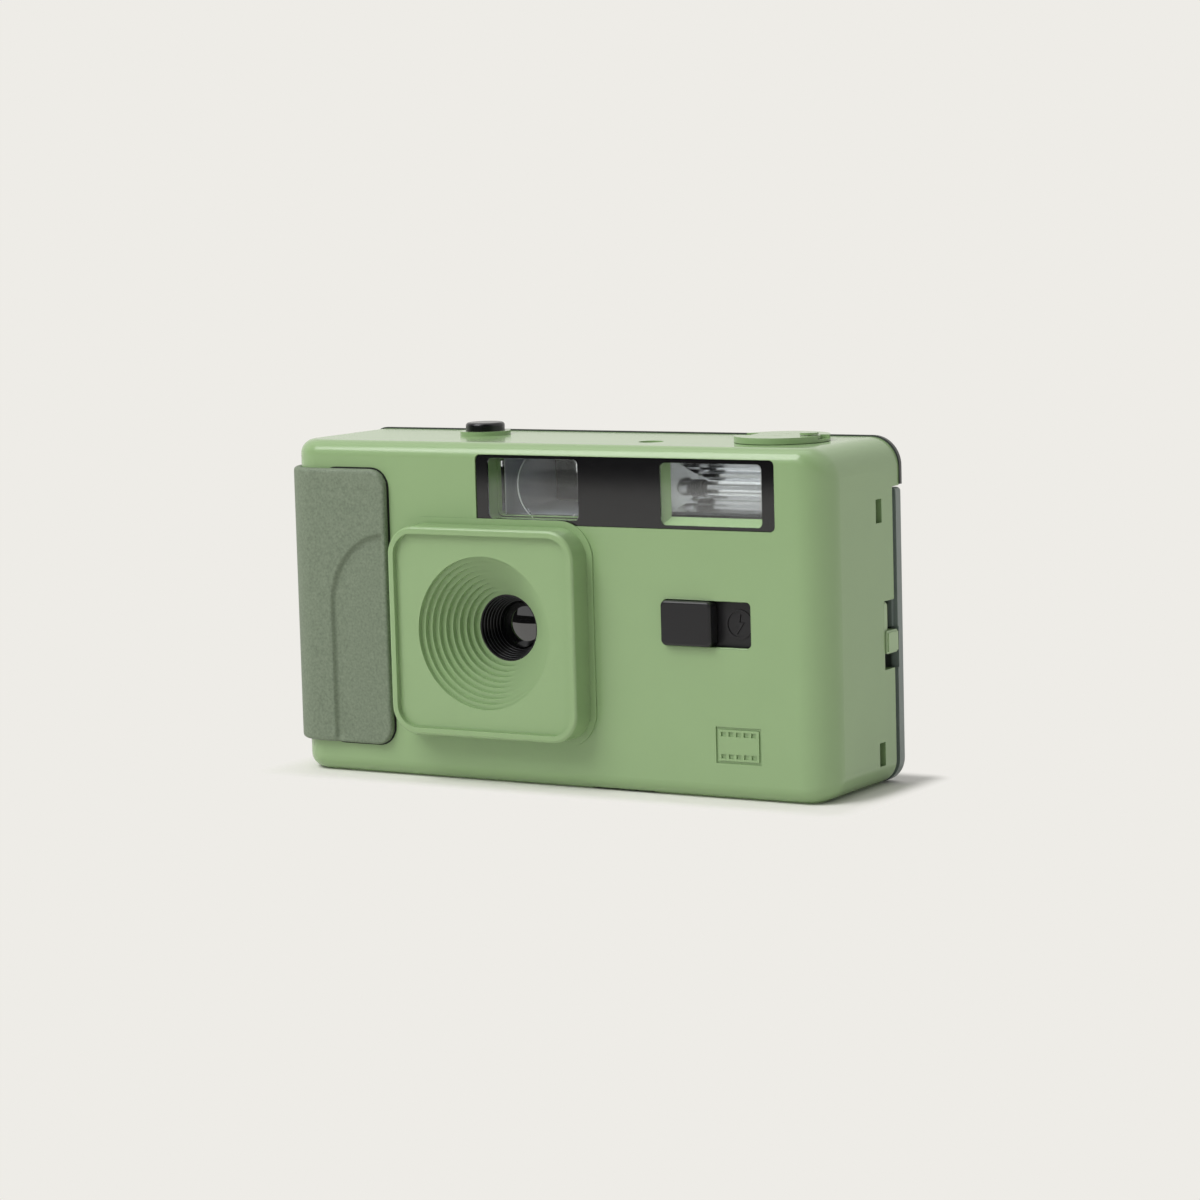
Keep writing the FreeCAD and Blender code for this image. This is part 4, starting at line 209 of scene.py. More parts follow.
FINISHES = (
    (body_green, "front_cover lens_surround rewind_disc battery_door"),
    (trim_green, "crank_lever crank_knob"),
    (latch_green, "door_latch"),
    (grip_skin, "grip_cover"),
    (door_grey, "back_door"),
    (rear_grey, "rear_cover"),
    (strip_black, "window_strip"),
    (button_black, "shutter_button"),
    (knob_black, "flash_switch_knob flash_switch_plate thumb_wheel rewind_release_button"),
    (inside_black, "film_chassis viewfinder_tube shutter_plate release_lever take_up_spool sprocket "
                   "rewind_shaft frame_counter"),
    (barrel_black, "lens_barrel lens_ring"),
    (gear_white, "take_up_gear sprocket_gear"),
    (plated, "flash_reflector"),
    (spring_steel, "shutter_button_spring latch_spring pressure_spring hinge_pin"),
    (zinc, "chassis_screws"),
    (blackened, "shutter_blade pressure_plate"),
    (nickel, "battery_contact battery_spring"),
    (seal_foam, "door_seal"),
    (board_green, "flash_board"),
    (sleeve_navy, "flash_capacitor"),
    (copper, "trigger_coil"),
    (cell_jacket, "battery"),
    (lamp_amber, "ready_lamp"),
    (clear_acrylic, "viewfinder_front_lens eyepiece_lens counter_window cassette_window"),
    (flash_acrylic, "flash_pane"),
    (lens_acrylic, "taking_lens"),
    (tube_glass, "flash_tube"),
)
for material, names in FINISHES:
    for name in names.split():
        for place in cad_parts[name].material_slots:
            place.material = material


# What the details are made with.
def new_object(name, mesh):
    piece = bpy.data.objects.new(name, mesh)
    bpy.context.scene.collection.objects.link(piece)
    return piece


def settle(piece, body, material, *nodes, smooth=True):
    """Give a finished piece its material, let it ride on a body and stand for the nodes it replaces."""
    piece.data.materials.clear()
    piece.data.materials.append(material)
    for face in piece.data.polygons:
        face.use_smooth = smooth
    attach(piece, body)
    if nodes:
        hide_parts(*nodes)
    return piece


def merged_mesh(name, node):
    """A copy of a solid's mesh with its loose triangles joined."""
    form = bmesh.new()
    form.from_mesh(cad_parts[node].data)
    bmesh.ops.remove_doubles(form, verts=form.verts, dist=1e-6)
    mesh = bpy.data.meshes.new(name)
    form.to_mesh(mesh)
    form.free()
    return mesh


def with_modifiers(piece):
    """The piece's mesh with its modifiers worked in, and the modifiers taken off."""
    bpy.context.view_layer.update()
    evaluated = piece.evaluated_get(bpy.context.evaluated_depsgraph_get())
    mesh = bpy.data.meshes.new_from_object(evaluated)
    piece.modifiers.clear()
    piece.data = mesh
    return piece


def ringed_loops(form, loops):
    """Close a run of loops of points into a skin that ends where it began."""
    rows = [[form.verts.new(point) for point in loop] for loop in loops]
    for row, after in zip(rows, rows[1:] + rows[:1]):
        for index in range(len(row)):
            following = (index + 1) % len(row)
            form.faces.new((row[index], row[following], after[following], after[index]))


def pull_face(form, points, reach):
    """Add a prism: a face on the points, drawn out by a vector. Gives back the points of its far end."""
    base = form.faces.new([form.verts.new(point) for point in points])
    grown = bmesh.ops.extrude_face_region(form, geom=[base])["geom"]
    moved = [item for item in grown if isinstance(item, bmesh.types.BMVert)]
    bmesh.ops.translate(form, verts=moved, vec=reach)
    return moved


def finish_form(name, form):
    """Turn a finished form's faces outwards and make an object of it."""
    bmesh.ops.recalc_face_normals(form, faces=form.faces)
    mesh = bpy.data.meshes.new(name)
    form.to_mesh(mesh)
    form.free()
    return new_object(name, mesh)


# The soft grip: the skin's edges and the scoop's step are rounded as a moulded elastomer is.
GRIP_VOXEL = 0.32
GRIP_SOFTENING = 4
# The thumb's scoop: a step along a straight line and a quarter of an ellipse, running out to the right.
SCOOP_LEFT = -47.5
SCOOP_TURN = 32.0
SCOOP_ACROSS = 13.2
SCOOP_UP = 14.0
SCOOP_DEEP = 0.75
SCOOP_STEP = 0.6
SCOOP_FADE = 7.0
SCOOP_MARGIN = (0.5, 1.4)
SCOOP_LEAD = 1.5
# The skin that the scoop may move lies this close to the grip's foremost plane, and faces forwards.
SKIN_DEEP = 1.0
SKIN_FACING = -0.5


def smooth_step(value):
    value = min(1.0, max(0.0, value))
    return value * value * (3 - 2 * value)


def scoop_depth(across, up):
    """How deep the scoop is at a point of the grip's front, in millimetres."""
    inward = across - SCOOP_LEFT
    if up > SCOOP_TURN:
        rise = (up - SCOOP_TURN) / SCOOP_UP
        side = min(0.0, (across - SCOOP_LEFT) / SCOOP_ACROSS - 1)
        inward = (1 - math.hypot(side, rise)) * SCOOP_ACROSS
    return SCOOP_DEEP * smooth_step(inward / SCOOP_STEP) * math.exp(-max(0.0, inward) / SCOOP_FADE)


def press_scoop(mesh, low, high):
    """Press the scoop into the front of the grip, clear of its rounded edges."""
    skin = [vert for vert in mesh.vertices
            if vert.co.y < low.y + SKIN_DEEP * MM and vert.normal.y < SKIN_FACING]
    for vert in skin:
        across, _, up = vert.co / MM
        margin = min(high.x / MM - across, high.z / MM - up, up - low.z / MM)
        share = smooth_step((margin - SCOOP_MARGIN[0]) / (SCOOP_MARGIN[1] - SCOOP_MARGIN[0]))
        share *= smooth_step(across - SCOOP_LEFT + SCOOP_LEAD)
        vert.co.y += (low.y + scoop_depth(across, up) * MM - vert.co.y) * share


def make_grip():
    piece = new_object("soft_grip", merged_mesh("soft_grip", "grip_cover"))
    remesh = piece.modifiers.new("even_skin", "REMESH")
    remesh.mode = "VOXEL"
    remesh.voxel_size = GRIP_VOXEL * MM
    ease = piece.modifiers.new("eased_edges", "SMOOTH")
    ease.factor = 0.5
    ease.iterations = GRIP_SOFTENING
    with_modifiers(piece)
    press_scoop(piece.data, *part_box("grip_cover"))
    settle(piece, "camera_body", grip_skin, "grip_cover")


# The painted shadow: a dark strip in the gap between the grip's edge and the shell, standing for its shade.
SEAM_WIDTH = 0.24
SEAM_PROUD = 0.05
SEAM_DEEP = 0.02
SEAM_LAP = 0.6
SEAM_HIDDEN = -50.0
GRIP_CORNER = 3.6


def make_grip_gap_shadow():
    low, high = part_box("grip_cover")
    right, base, top = high.x / MM, low.z / MM, high.z / MM
    outer = round_outline(SEAM_HIDDEN, right + SEAM_WIDTH, base - SEAM_WIDTH, top + SEAM_WIDTH,
                          GRIP_CORNER + SEAM_WIDTH)
    inner = round_outline(SEAM_HIDDEN + 1, right - SEAM_LAP, base + SEAM_LAP, top - SEAM_LAP,
                          GRIP_CORNER - SEAM_LAP)
    section = ((outer, -SEAM_PROUD), (outer, SEAM_DEEP), (inner, SEAM_DEEP), (inner, -SEAM_PROUD))
    form = bmesh.new()
    ringed_loops(form, [[on_front(*point, depth) for point in outline] for outline, depth in section])
    settle(finish_form("grip_gap_shadow", form), "camera_body", gap_shadow_black, smooth=False)


# How many faces an eased edge has.
EASE_STEPS = 3


def round_outline(left, right, low, high, radius, steps=8):
    """Points of a rounded rectangle in the front view, against the clock."""
    points = []
    corners = ((right - radius, high - radius), (left + radius, high - radius),
               (left + radius, low + radius), (right - radius, low + radius))
    for corner, (across, up) in enumerate(corners):
        for step in range(steps + 1):
            turn = math.pi / 2 * (corner + step / steps)
            points.append((across + radius * math.cos(turn), up + radius * math.sin(turn)))
    return points


def on_front(across, up, depth):
    """A point from its place on the front face and its depth behind it."""
    return Vector((across, FRONT + depth, up)) * MM


def on_side(back, up, across):
    """A point from its place on the right side and its distance from the middle."""
    return Vector((across, back, up)) * MM


def add_plate(form, outline, front, back, edge, place):
    """Add a flat moulding between two depths, with its front edge eased."""
    moved = pull_face(form, [place(*point, back) for point in outline],
                      place(0, 0, front) - place(0, 0, back))
    front_edges = [line for line in form.edges if all(vert in moved for vert in line.verts)]
    bmesh.ops.bevel(form, geom=front_edges, offset=edge * MM, segments=EASE_STEPS, affect="EDGES")


def make_plate(name, outline, front, back, edge):
    """A flat moulding between two depths from the front face, with its front edge eased."""
    form = bmesh.new()
    add_plate(form, outline, front, back, edge, on_front)
    return finish_form(name, form)


# The two clear windows of the strip, flush with its face: left, right, low and high in millimetres.
FINDER_WINDOW = (-12.65, 6.8, 49.2, 60.4)
FLASH_WINDOW = (23.9, 44.5, 48.95, 60.2)
WINDOW_FRONT = 0.3
WINDOW_BACK = 0.9
WINDOW_CLEAR = 0.03
WINDOW_CORNER = 1.0
WINDOW_EDGE = 0.08


def make_windows():
    for name, (left, right, low, high) in (("finder_window", FINDER_WINDOW),
                                           ("flash_window", FLASH_WINDOW)):
        outline = round_outline(left + WINDOW_CLEAR, right - WINDOW_CLEAR, low + WINDOW_CLEAR,
                                high - WINDOW_CLEAR, WINDOW_CORNER - WINDOW_CLEAR)
        plate = make_plate(name, outline, WINDOW_FRONT, WINDOW_BACK, WINDOW_EDGE)
        settle(plate, "camera_body", clear_acrylic, smooth=False)


# The finder's green tunnel ends at the lens plate, which stands a little deeper in it. A pale liner
# goes on from there.
REVEAL = (-12.63, 6.78, 49.42, 60.18)
REVEAL_CORNER = 1.0
REVEAL_WALL = 0.12
REVEAL_BACK = -8.0
LINER_BACK = 10.2
PLATE_FRONT = -9.9
PLATE_BACK = -8.1
PLATE_CLEAR = 0.16
PLATE_COLUMNS = 150
PLATE_ROWS = 84
# A round lens is moulded into the plate; whitish strips on its rim and on the plate's shoulder are painted
# highlights.
HOLLOW_X = -1.7
HOLLOW_Z = 55.0
HOLLOW_RADIUS = 7.2
HOLLOW_DEPTH = 0.6
HOLLOW_EASE = 0.3
HOLLOW_SHARE = 1.25
RIM_ANGLES = (137, 235)
RIM_WIDTH = 0.34
RIM_THICK = 0.08
RIM_STEPS = 40
RIM_TAPER = 0.3
SHOULDER_X = -11.62
SHOULDER_WIDTH = 0.16
SHOULDER_SHORT = 0.2
SHOULDER_EDGE = 0.02


def make_sleeve(name, front, back, material):
    """A thin rectangular sleeve that lines the finder's tube between two depths."""
    left, right, low, high = REVEAL
    outer = round_outline(left, right, low, high, REVEAL_CORNER)
    inner = round_outline(left + REVEAL_WALL, right - REVEAL_WALL, low + REVEAL_WALL, high - REVEAL_WALL,
                          REVEAL_CORNER - REVEAL_WALL)
    section = ((outer, front), (outer, back), (inner, back), (inner, front))
    form = bmesh.new()
    ringed_loops(form, [[(across * MM, depth * MM, up * MM) for across, up in outline]
                        for outline, depth in section])
    settle(finish_form(name, form), "camera_body", material, smooth=False)


def make_finder_lens():
    """The clear plate with the round lens moulded into its front."""
    left, right = REVEAL[0] + PLATE_CLEAR, REVEAL[1] - PLATE_CLEAR
    low, high = REVEAL[2] + PLATE_CLEAR, REVEAL[3] - PLATE_CLEAR
    form = bmesh.new()
    front = []
    for row in range(PLATE_ROWS + 1):
        line = []
        for column in range(PLATE_COLUMNS + 1):
            across = left + (right - left) * column / PLATE_COLUMNS
            up = low + (high - low) * row / PLATE_ROWS
            reach = math.hypot(across - HOLLOW_X, up - HOLLOW_Z)
            inward = min(1.0, max(0.0, (HOLLOW_RADIUS - reach) / HOLLOW_EASE))
            sag = HOLLOW_DEPTH * inward * (HOLLOW_SHARE - (reach / HOLLOW_RADIUS) ** 2)
            line.append(form.verts.new((across * MM, (PLATE_FRONT + sag) * MM, up * MM)))
        front.append(line)
    for below, above in zip(front, front[1:]):
        for column in range(PLATE_COLUMNS):
            form.faces.new((below[column], below[column + 1], above[column + 1], above[column]))
    rim = [line for line in form.edges if line.is_boundary]
    walls = bmesh.ops.extrude_edge_only(form, edges=rim)["geom"]
    for vert in [item for item in walls if isinstance(item, bmesh.types.BMVert)]:
        vert.co.y = PLATE_BACK * MM
    bmesh.ops.contextual_create(form, geom=[line for line in form.edges if line.is_boundary])
    settle(finish_form("finder_lens", form), "camera_body", lens_acrylic, "viewfinder_front_lens",
           smooth=False)


def make_lens_edge_highlights():
    """A painted highlight along the rim of the moulded lens, widest at its middle, and one on the straight
    shoulder beside it.
    """
    form = bmesh.new()
    loops = []
    for step in range(RIM_STEPS + 1):
        share = step / RIM_STEPS
        turn = math.radians(RIM_ANGLES[0] + (RIM_ANGLES[1] - RIM_ANGLES[0]) * share)
        half = RIM_WIDTH / 2 * (RIM_TAPER + (1 - RIM_TAPER) * math.sin(math.pi * share))
        section = ((HOLLOW_RADIUS - half, 0), (HOLLOW_RADIUS + half, 0),
                   (HOLLOW_RADIUS + half, -RIM_THICK), (HOLLOW_RADIUS - half, -RIM_THICK))
        loops.append([form.verts.new(((HOLLOW_X + radius * math.cos(turn)) * MM,
                                      (PLATE_FRONT + depth) * MM,
                                      (HOLLOW_Z + radius * math.sin(turn)) * MM))
                      for radius, depth in section])
    for loop, after in zip(loops, loops[1:]):
        for index in range(4):
            following = (index + 1) % 4
            form.faces.new((loop[index], loop[following], after[following], after[index]))
    form.faces.new(loops[0])
    form.faces.new(loops[-1])
    settle(finish_form("finder_lens_rim_highlight", form), "camera_body", lens_edge_painted_highlight)
    outline = round_outline(SHOULDER_X - SHOULDER_WIDTH / 2, SHOULDER_X + SHOULDER_WIDTH / 2,
                            REVEAL[2] + SHOULDER_SHORT, REVEAL[3] - SHOULDER_SHORT, SHOULDER_WIDTH / 3,
                            steps=3)
    shoulder = make_plate("finder_lens_shoulder_highlight", outline, PLATE_FRONT - FRONT - RIM_THICK,
                          PLATE_FRONT - FRONT, SHOULDER_EDGE)
    settle(shoulder, "camera_body", lens_edge_painted_highlight, smooth=False)


# The door's latch: a rounded tab to push, a narrow stem in the dark slot above it, and the hook inside.
LATCH_CARRIER = (54.1, 55.3)
LATCH_STEM_OUT = 56.6
LATCH_TAB_OUT = 57.5
LATCH_LAP = 0.3
LATCH_HOOK = ((5.8, 24.2), (9.2, 24.2), (9.2, 34.4), (13.1, 34.4), (13.1, 36.0), (5.8, 36.0))
LATCH_HOOK_EDGE = 0.15
LATCH_STEM = (7.85, 9.7, 28.2, 33.6)
LATCH_STEM_CORNER = 0.85
LATCH_STEM_EDGE = 0.2
LATCH_TAB = (7.85, 12.35, 24.25, 28.4)
LATCH_TAB_CORNER = 0.5
LATCH_TAB_EDGE = 0.35


def make_latch():
    inner, outer = LATCH_CARRIER
    stem = round_outline(*LATCH_STEM, LATCH_STEM_CORNER)
    tab = round_outline(*LATCH_TAB, LATCH_TAB_CORNER)
    form = bmesh.new()
    add_plate(form, LATCH_HOOK, outer, inner, LATCH_HOOK_EDGE, on_side)
    add_plate(form, stem, LATCH_STEM_OUT, outer - LATCH_LAP, LATCH_STEM_EDGE, on_side)
    add_plate(form, tab, LATCH_TAB_OUT, outer - LATCH_LAP, LATCH_TAB_EDGE, on_side)
    settle(finish_form("latch_slider", form), "latch", latch_green, "door_latch", smooth=False)


# The eased green rim inside the switch's opening: left, right, low and high of the opening.
SWITCH_OPENING = (23.8, 42.0, 27.2, 35.9)
SWITCH_CORNER = 0.9
# Its section, as distances in from the opening's edge and back from the front face.
SWITCH_RIM = ((0.02, 0), (0.02, 0.8), (0.24, 0.8), (0.24, 0.24), (0.204, 0.12), (0.12, 0.01))


def make_switch_rim():
    left, right, low, high = SWITCH_OPENING
    form = bmesh.new()
    loops = []
    for inset, depth in SWITCH_RIM:
        outline = round_outline(left + inset, right - inset, low + inset, high - inset, SWITCH_CORNER)
        loops.append([on_front(*point, depth) for point in outline])
    ringed_loops(form, loops)
    settle(finish_form("switch_rim", form), "camera_body", body_green)


def make_springs():
    """Merged copies of the button's and the latch's springs in spring steel, left where they stand; the solids
    they copy are hidden.
    """
    for name, node, moving in (("button_coil", "shutter_button_spring", "release"),
                               ("latch_coil", "latch_spring", "latch")):
        piece = new_object(name, merged_mesh(name, node))
        piece.data.materials.clear()
        piece.data.materials.append(spring_steel)
        if moving == "release":
            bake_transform(piece)
        else:
            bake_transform(piece)
        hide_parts(node)


# Rows of rings, made with geometry nodes: the barrel's lips, the coil's windings and the tube's sleeves.
HOOP_STEPS = 72
WIRE_STEPS = 8
COIL_TURNS = 22
SLEEVE_RINGS = 5
SLEEVE_START = 28.2
SLEEVE_STEP = 0.5
SLEEVE_THICK = 0.3


def ring_row_tree():
    tree = bpy.data.node_groups.new("row_of_rings", "GeometryNodeTree")
    inputs = (("Rings", "NodeSocketInt"), ("First Radius", "NodeSocketFloat"),
              ("Last Radius", "NodeSocketFloat"), ("Thickness", "NodeSocketFloat"),
              ("Start", "NodeSocketVector"), ("Step", "NodeSocketVector"),
              ("Turn", "NodeSocketVector"), ("Finish", "NodeSocketMaterial"))
    for name, kind in inputs:
        tree.interface.new_socket(name=name, in_out="INPUT", socket_type=kind)
    tree.interface.new_socket(name="Geometry", in_out="OUTPUT", socket_type="NodeSocketGeometry")
    given = add(tree, "NodeGroupInput")
    points = add(tree, "GeometryNodeMeshLine",
                 {"Count": (given, "Rings"), "Start Location": (given, "Start"), "Offset": (given, "Step")},
                 mode="OFFSET")
    order = add(tree, "GeometryNodeInputIndex")
    last = add(tree, "ShaderNodeMath", {0: (given, "Rings"), 1: 1.0}, operation="SUBTRACT")
    radius = add(tree, "ShaderNodeMapRange",
                 {"Value": (order, "Index"), "From Min": 0.0, "From Max": (last, "Value"),
                  "To Min": (given, "First Radius"), "To Max": (given, "Last Radius")})
    share = add(tree, "ShaderNodeMath", {0: (radius, "Result"), 1: (given, "First Radius")},
                operation="DIVIDE")
    hoop = add(tree, "GeometryNodeCurvePrimitiveCircle",
               {"Resolution": HOOP_STEPS, "Radius": (given, "First Radius")}, mode="RADIUS")
    section = add(tree, "GeometryNodeCurvePrimitiveCircle",
                  {"Resolution": WIRE_STEPS, "Radius": (given, "Thickness")}, mode="RADIUS")
    ring = add(tree, "GeometryNodeCurveToMesh",
               {"Curve": (hoop, "Curve"), "Profile Curve": (section, "Curve")})
    row = add(tree, "GeometryNodeInstanceOnPoints",
              {"Points": (points, "Mesh"), "Instance": (ring, "Mesh"),
               "Rotation": (given, "Turn"), "Scale": (share, "Value")})
    real = add(tree, "GeometryNodeRealizeInstances", {"Geometry": (row, "Instances")})
    dressed = add(tree, "GeometryNodeSetMaterial",
                  {"Geometry": (real, "Geometry"), "Material": (given, "Finish")})
    add(tree, "NodeGroupOutput", {"Geometry": (dressed, "Geometry")})
    return tree


def make_ring_row(name, body, tree, material, **sizes):
    """A row of rings; the keywords are the tree's inputs, with a low line for each space."""
    piece = new_object(name, bpy.data.meshes.new(name))
    rows = piece.modifiers.new("rows", "NODES")
    rows.node_group = tree
    wanted = {word.replace("_", " "): value for word, value in sizes.items()}
    wanted["Finish"] = material
    for socket in tree.interface.items_tree:
        if socket.in_out == "INPUT":
            rows[socket.identifier] = wanted[socket.name]
    with_modifiers(piece)
    settle(piece, body, material)


# The barrel steps in towards the glass, with a small lip on each step, coloured lighter as a painted highlight.
BARREL_STEPS = 6
BARREL_MOUTH = 6.0
BARREL_BORE = 4.55
BARREL_SEAT = 4.65
GLASS_SEAT = -5.9
GLASS_RADIUS = 4.45
GLASS_RISE = 1.0
GLASS_BACK = -5.02
GLASS_STEPS = 16
LIP = 0.11


def lathe(name, profile, steps=96):
    """Turn a closed profile of radius and depth, in millimetres, round the lens axis."""
    low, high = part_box("taking_lens")
    middle_x, middle_z = (low.x + high.x) / 2, (low.z + high.z) / 2
    form = bmesh.new()
    loops = []
    for step in range(steps):
        turn = 2 * math.pi * step / steps
        loops.append([(middle_x + radius * MM * math.cos(turn), depth * MM,
                       middle_z + radius * MM * math.sin(turn)) for radius, depth in profile])
    ringed_loops(form, loops)
    bmesh.ops.remove_doubles(form, verts=form.verts, dist=1e-7)
    return finish_form(name, form)


def make_lens_unit(tree):
    """The stepped barrel, the lips on its steps, coloured lighter as a painted highlight, and the domed glass.
    """
    low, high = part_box("lens_barrel")
    outside = (high.x - low.x) / 2 / MM
    front, back = low.y / MM, high.y / MM
    profile = [(outside, back), (outside, front), (BARREL_MOUTH, front)]
    drop = (GLASS_SEAT - front) / BARREL_STEPS
    shrink = (BARREL_MOUTH - BARREL_BORE) / BARREL_STEPS
    for step in range(BARREL_STEPS):
        radius = BARREL_MOUTH - shrink * step
        depth = front + drop * (step + 1)
        profile += [(radius, depth), (radius - shrink, depth)]
    profile += [(BARREL_BORE, GLASS_BACK), (BARREL_SEAT, GLASS_BACK), (BARREL_SEAT, back)]
    settle(lathe("stepped_barrel", profile), "camera_body", barrel_black, "lens_barrel", smooth=False)
    low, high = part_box("taking_lens")
    middle = (low + high) / 2
    make_ring_row("barrel_lips", "camera_body", tree, lip_painted_highlight_black, Rings=BARREL_STEPS,
                  First_Radius=(BARREL_MOUTH - shrink + LIP) * MM, Last_Radius=(BARREL_BORE + LIP) * MM,
                  Thickness=LIP * MM, Start=(middle.x, (front + drop) * MM, middle.z), Step=(0, drop * MM, 0),
                  Turn=(math.pi / 2, 0, 0))
    dome = [(GLASS_RADIUS * step / GLASS_STEPS, GLASS_SEAT - GLASS_RISE * (1 - (step / GLASS_STEPS) ** 2))
            for step in range(GLASS_STEPS + 1)]
    settle(lathe("lens_glass", [*dome, (GLASS_RADIUS, GLASS_BACK), (0, GLASS_BACK)]), "camera_body",
           coated_glass, "taking_lens")


def make_windings(tree):
    """The wire on the trigger coil and the ringed sleeve on the flash tube's end."""
    low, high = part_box("trigger_coil")
    wire = (high.x - low.x) / COIL_TURNS / 2
    middle = (low + high) / 2
    radius = (high.z - low.z) / 2 - wire
    make_ring_row("coil_windings", "camera_body", tree, copper, Rings=COIL_TURNS, First_Radius=radius,
                  Last_Radius=radius, Thickness=wire, Start=(low.x + wire, middle.y, middle.z),
                  Step=(wire * 2, 0, 0), Turn=(0, math.pi / 2, 0))
    low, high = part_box("flash_tube")
    middle = (low + high) / 2
    radius = (high.z - low.z) / 2
    make_ring_row("tube_sleeve", "camera_body", tree, sleeve_grey, Rings=SLEEVE_RINGS, First_Radius=radius,
                  Last_Radius=radius, Thickness=SLEEVE_THICK * MM,
                  Start=(SLEEVE_START * MM, middle.y, middle.z), Step=(SLEEVE_STEP * MM, 0, 0),
                  Turn=(0, math.pi / 2, 0))


# The flash reflector: a trough of narrow bright ribs with slanted ends.
RIBS = 7
RIB_BULGE = 0.22
RIB_STEPS = 6
TROUGH_DEPTH = 5.4
TROUGH_WALL = 0.5
# Its slanted ends: how thick they start, how far they reach in as a share of the depth, how far they
# stop short of its back, and how far they keep inside its top and base.
END_THICK = 0.5
END_SHARE = 0.75
END_BACK = (0.6, 0.1)
END_INSIDE = 0.05


def make_reflector():
    low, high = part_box("flash_reflector")
    middle = (low.z + high.z) / 2
    half = (high.z - low.z) / 2 - TROUGH_WALL * MM
    inner = []
    for rib in range(RIBS):
        for step in range(RIB_STEPS + (rib == RIBS - 1)):
            share = (rib + step / RIB_STEPS) / RIBS
            height = half * (2 * share - 1)
            depth = TROUGH_DEPTH * MM * (1 - (height / half) ** 2)
            depth -= RIB_BULGE * MM * math.sin(math.pi * step / RIB_STEPS)
            inner.append((low.y + max(0.0, depth), middle + height))
    profile = [(low.y, low.z), *inner, (low.y, high.z), (high.y, high.z), (high.y, low.z)]
    form = bmesh.new()
    pull_face(form, [(low.x, depth, up) for depth, up in profile], (high.x - low.x, 0, 0))
    slant = TROUGH_DEPTH * END_SHARE * MM
    near, far = (high.y - stop * MM for stop in END_BACK)
    for side, wall in ((low.x, 1), (high.x, -1)):
        points = [(side, low.y), (side + wall * END_THICK * MM, low.y), (side + wall * slant, near),
                  (side + wall * slant, far), (side, far)]
        pull_face(form, [(across, depth, low.z + END_INSIDE * MM) for across, depth in points],
                  (0, 0, high.z - low.z - 2 * END_INSIDE * MM))
    settle(finish_form("ribbed_reflector", form), "camera_body", plated, "flash_reflector", smooth=False)


# Dress the solids.
make_grip()
make_grip_gap_shadow()
make_windows()
make_sleeve("finder_reveal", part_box("viewfinder_front_lens")[0].y / MM, REVEAL_BACK, body_green)
make_sleeve("finder_liner", REVEAL_BACK, LINER_BACK, finder_grey)
make_finder_lens()
make_lens_edge_highlights()
make_reflector()
make_latch()
make_switch_rim()
make_springs()
ring_rows = ring_row_tree()
make_lens_unit(ring_rows)
make_windings(ring_rows)

BACKGROUND = "#EEECE7"
ROOM_COLOUR = "#F4F4F3"
CAMERA_CLIP = (0.05, 20)


def make_camera():
    """The photograph's camera, from its place, its three angles and its focal length in pixels."""
    yaw, pitch, roll = (math.radians(angle) for angle in (CAMERA_YAW, CAMERA_PITCH, CAMERA_ROLL))
    ahead = Vector((-math.sin(yaw) * math.cos(pitch), math.cos(yaw) * math.cos(pitch), -math.sin(pitch)))
    level = Vector((math.cos(yaw), math.sin(yaw), 0))
    upright = level.cross(ahead)
    across = math.cos(roll) * level + math.sin(roll) * upright
    above = -math.sin(roll) * level + math.cos(roll) * upright
    data = bpy.data.cameras.new("photo_camera")
    data.sensor_width = SENSOR_WIDTH
    data.lens = FOCAL_PIXELS * SENSOR_WIDTH / PHOTO_PIXELS
    data.clip_start, data.clip_end = CAMERA_CLIP
    camera = bpy.data.objects.new("photo_camera", data)
    turned = Matrix((across, above, -ahead)).transposed().to_4x4()
    camera.matrix_world = Matrix.Translation(CAMERA_PLACE) @ turned
    bpy.context.scene.collection.objects.link(camera)
    bpy.context.scene.camera = camera


# The floor takes real light and shadow close round the object's footprint, and is an even tone further
# out. These sizes are in metres.
FLOOR_REACH = 6.0
FOOTPRINT = (0.0585, 0.0185)
SHADOW_REACH = 0.006
# The table ends below the camera. Polished faces show it up to there, and a dim room beyond.
TABLE_EDGE = -0.56
TABLE_BLUR = 0.04
DIM_ROOM = 0.03
# The floor lies a hair below the base. It is clear from its underside, and to light that leaves the base
# straight down, so that the base can be looked at.
FLOOR_LEVEL = -0.05 * MM
BASE_LIGHT = 0.12 * MM


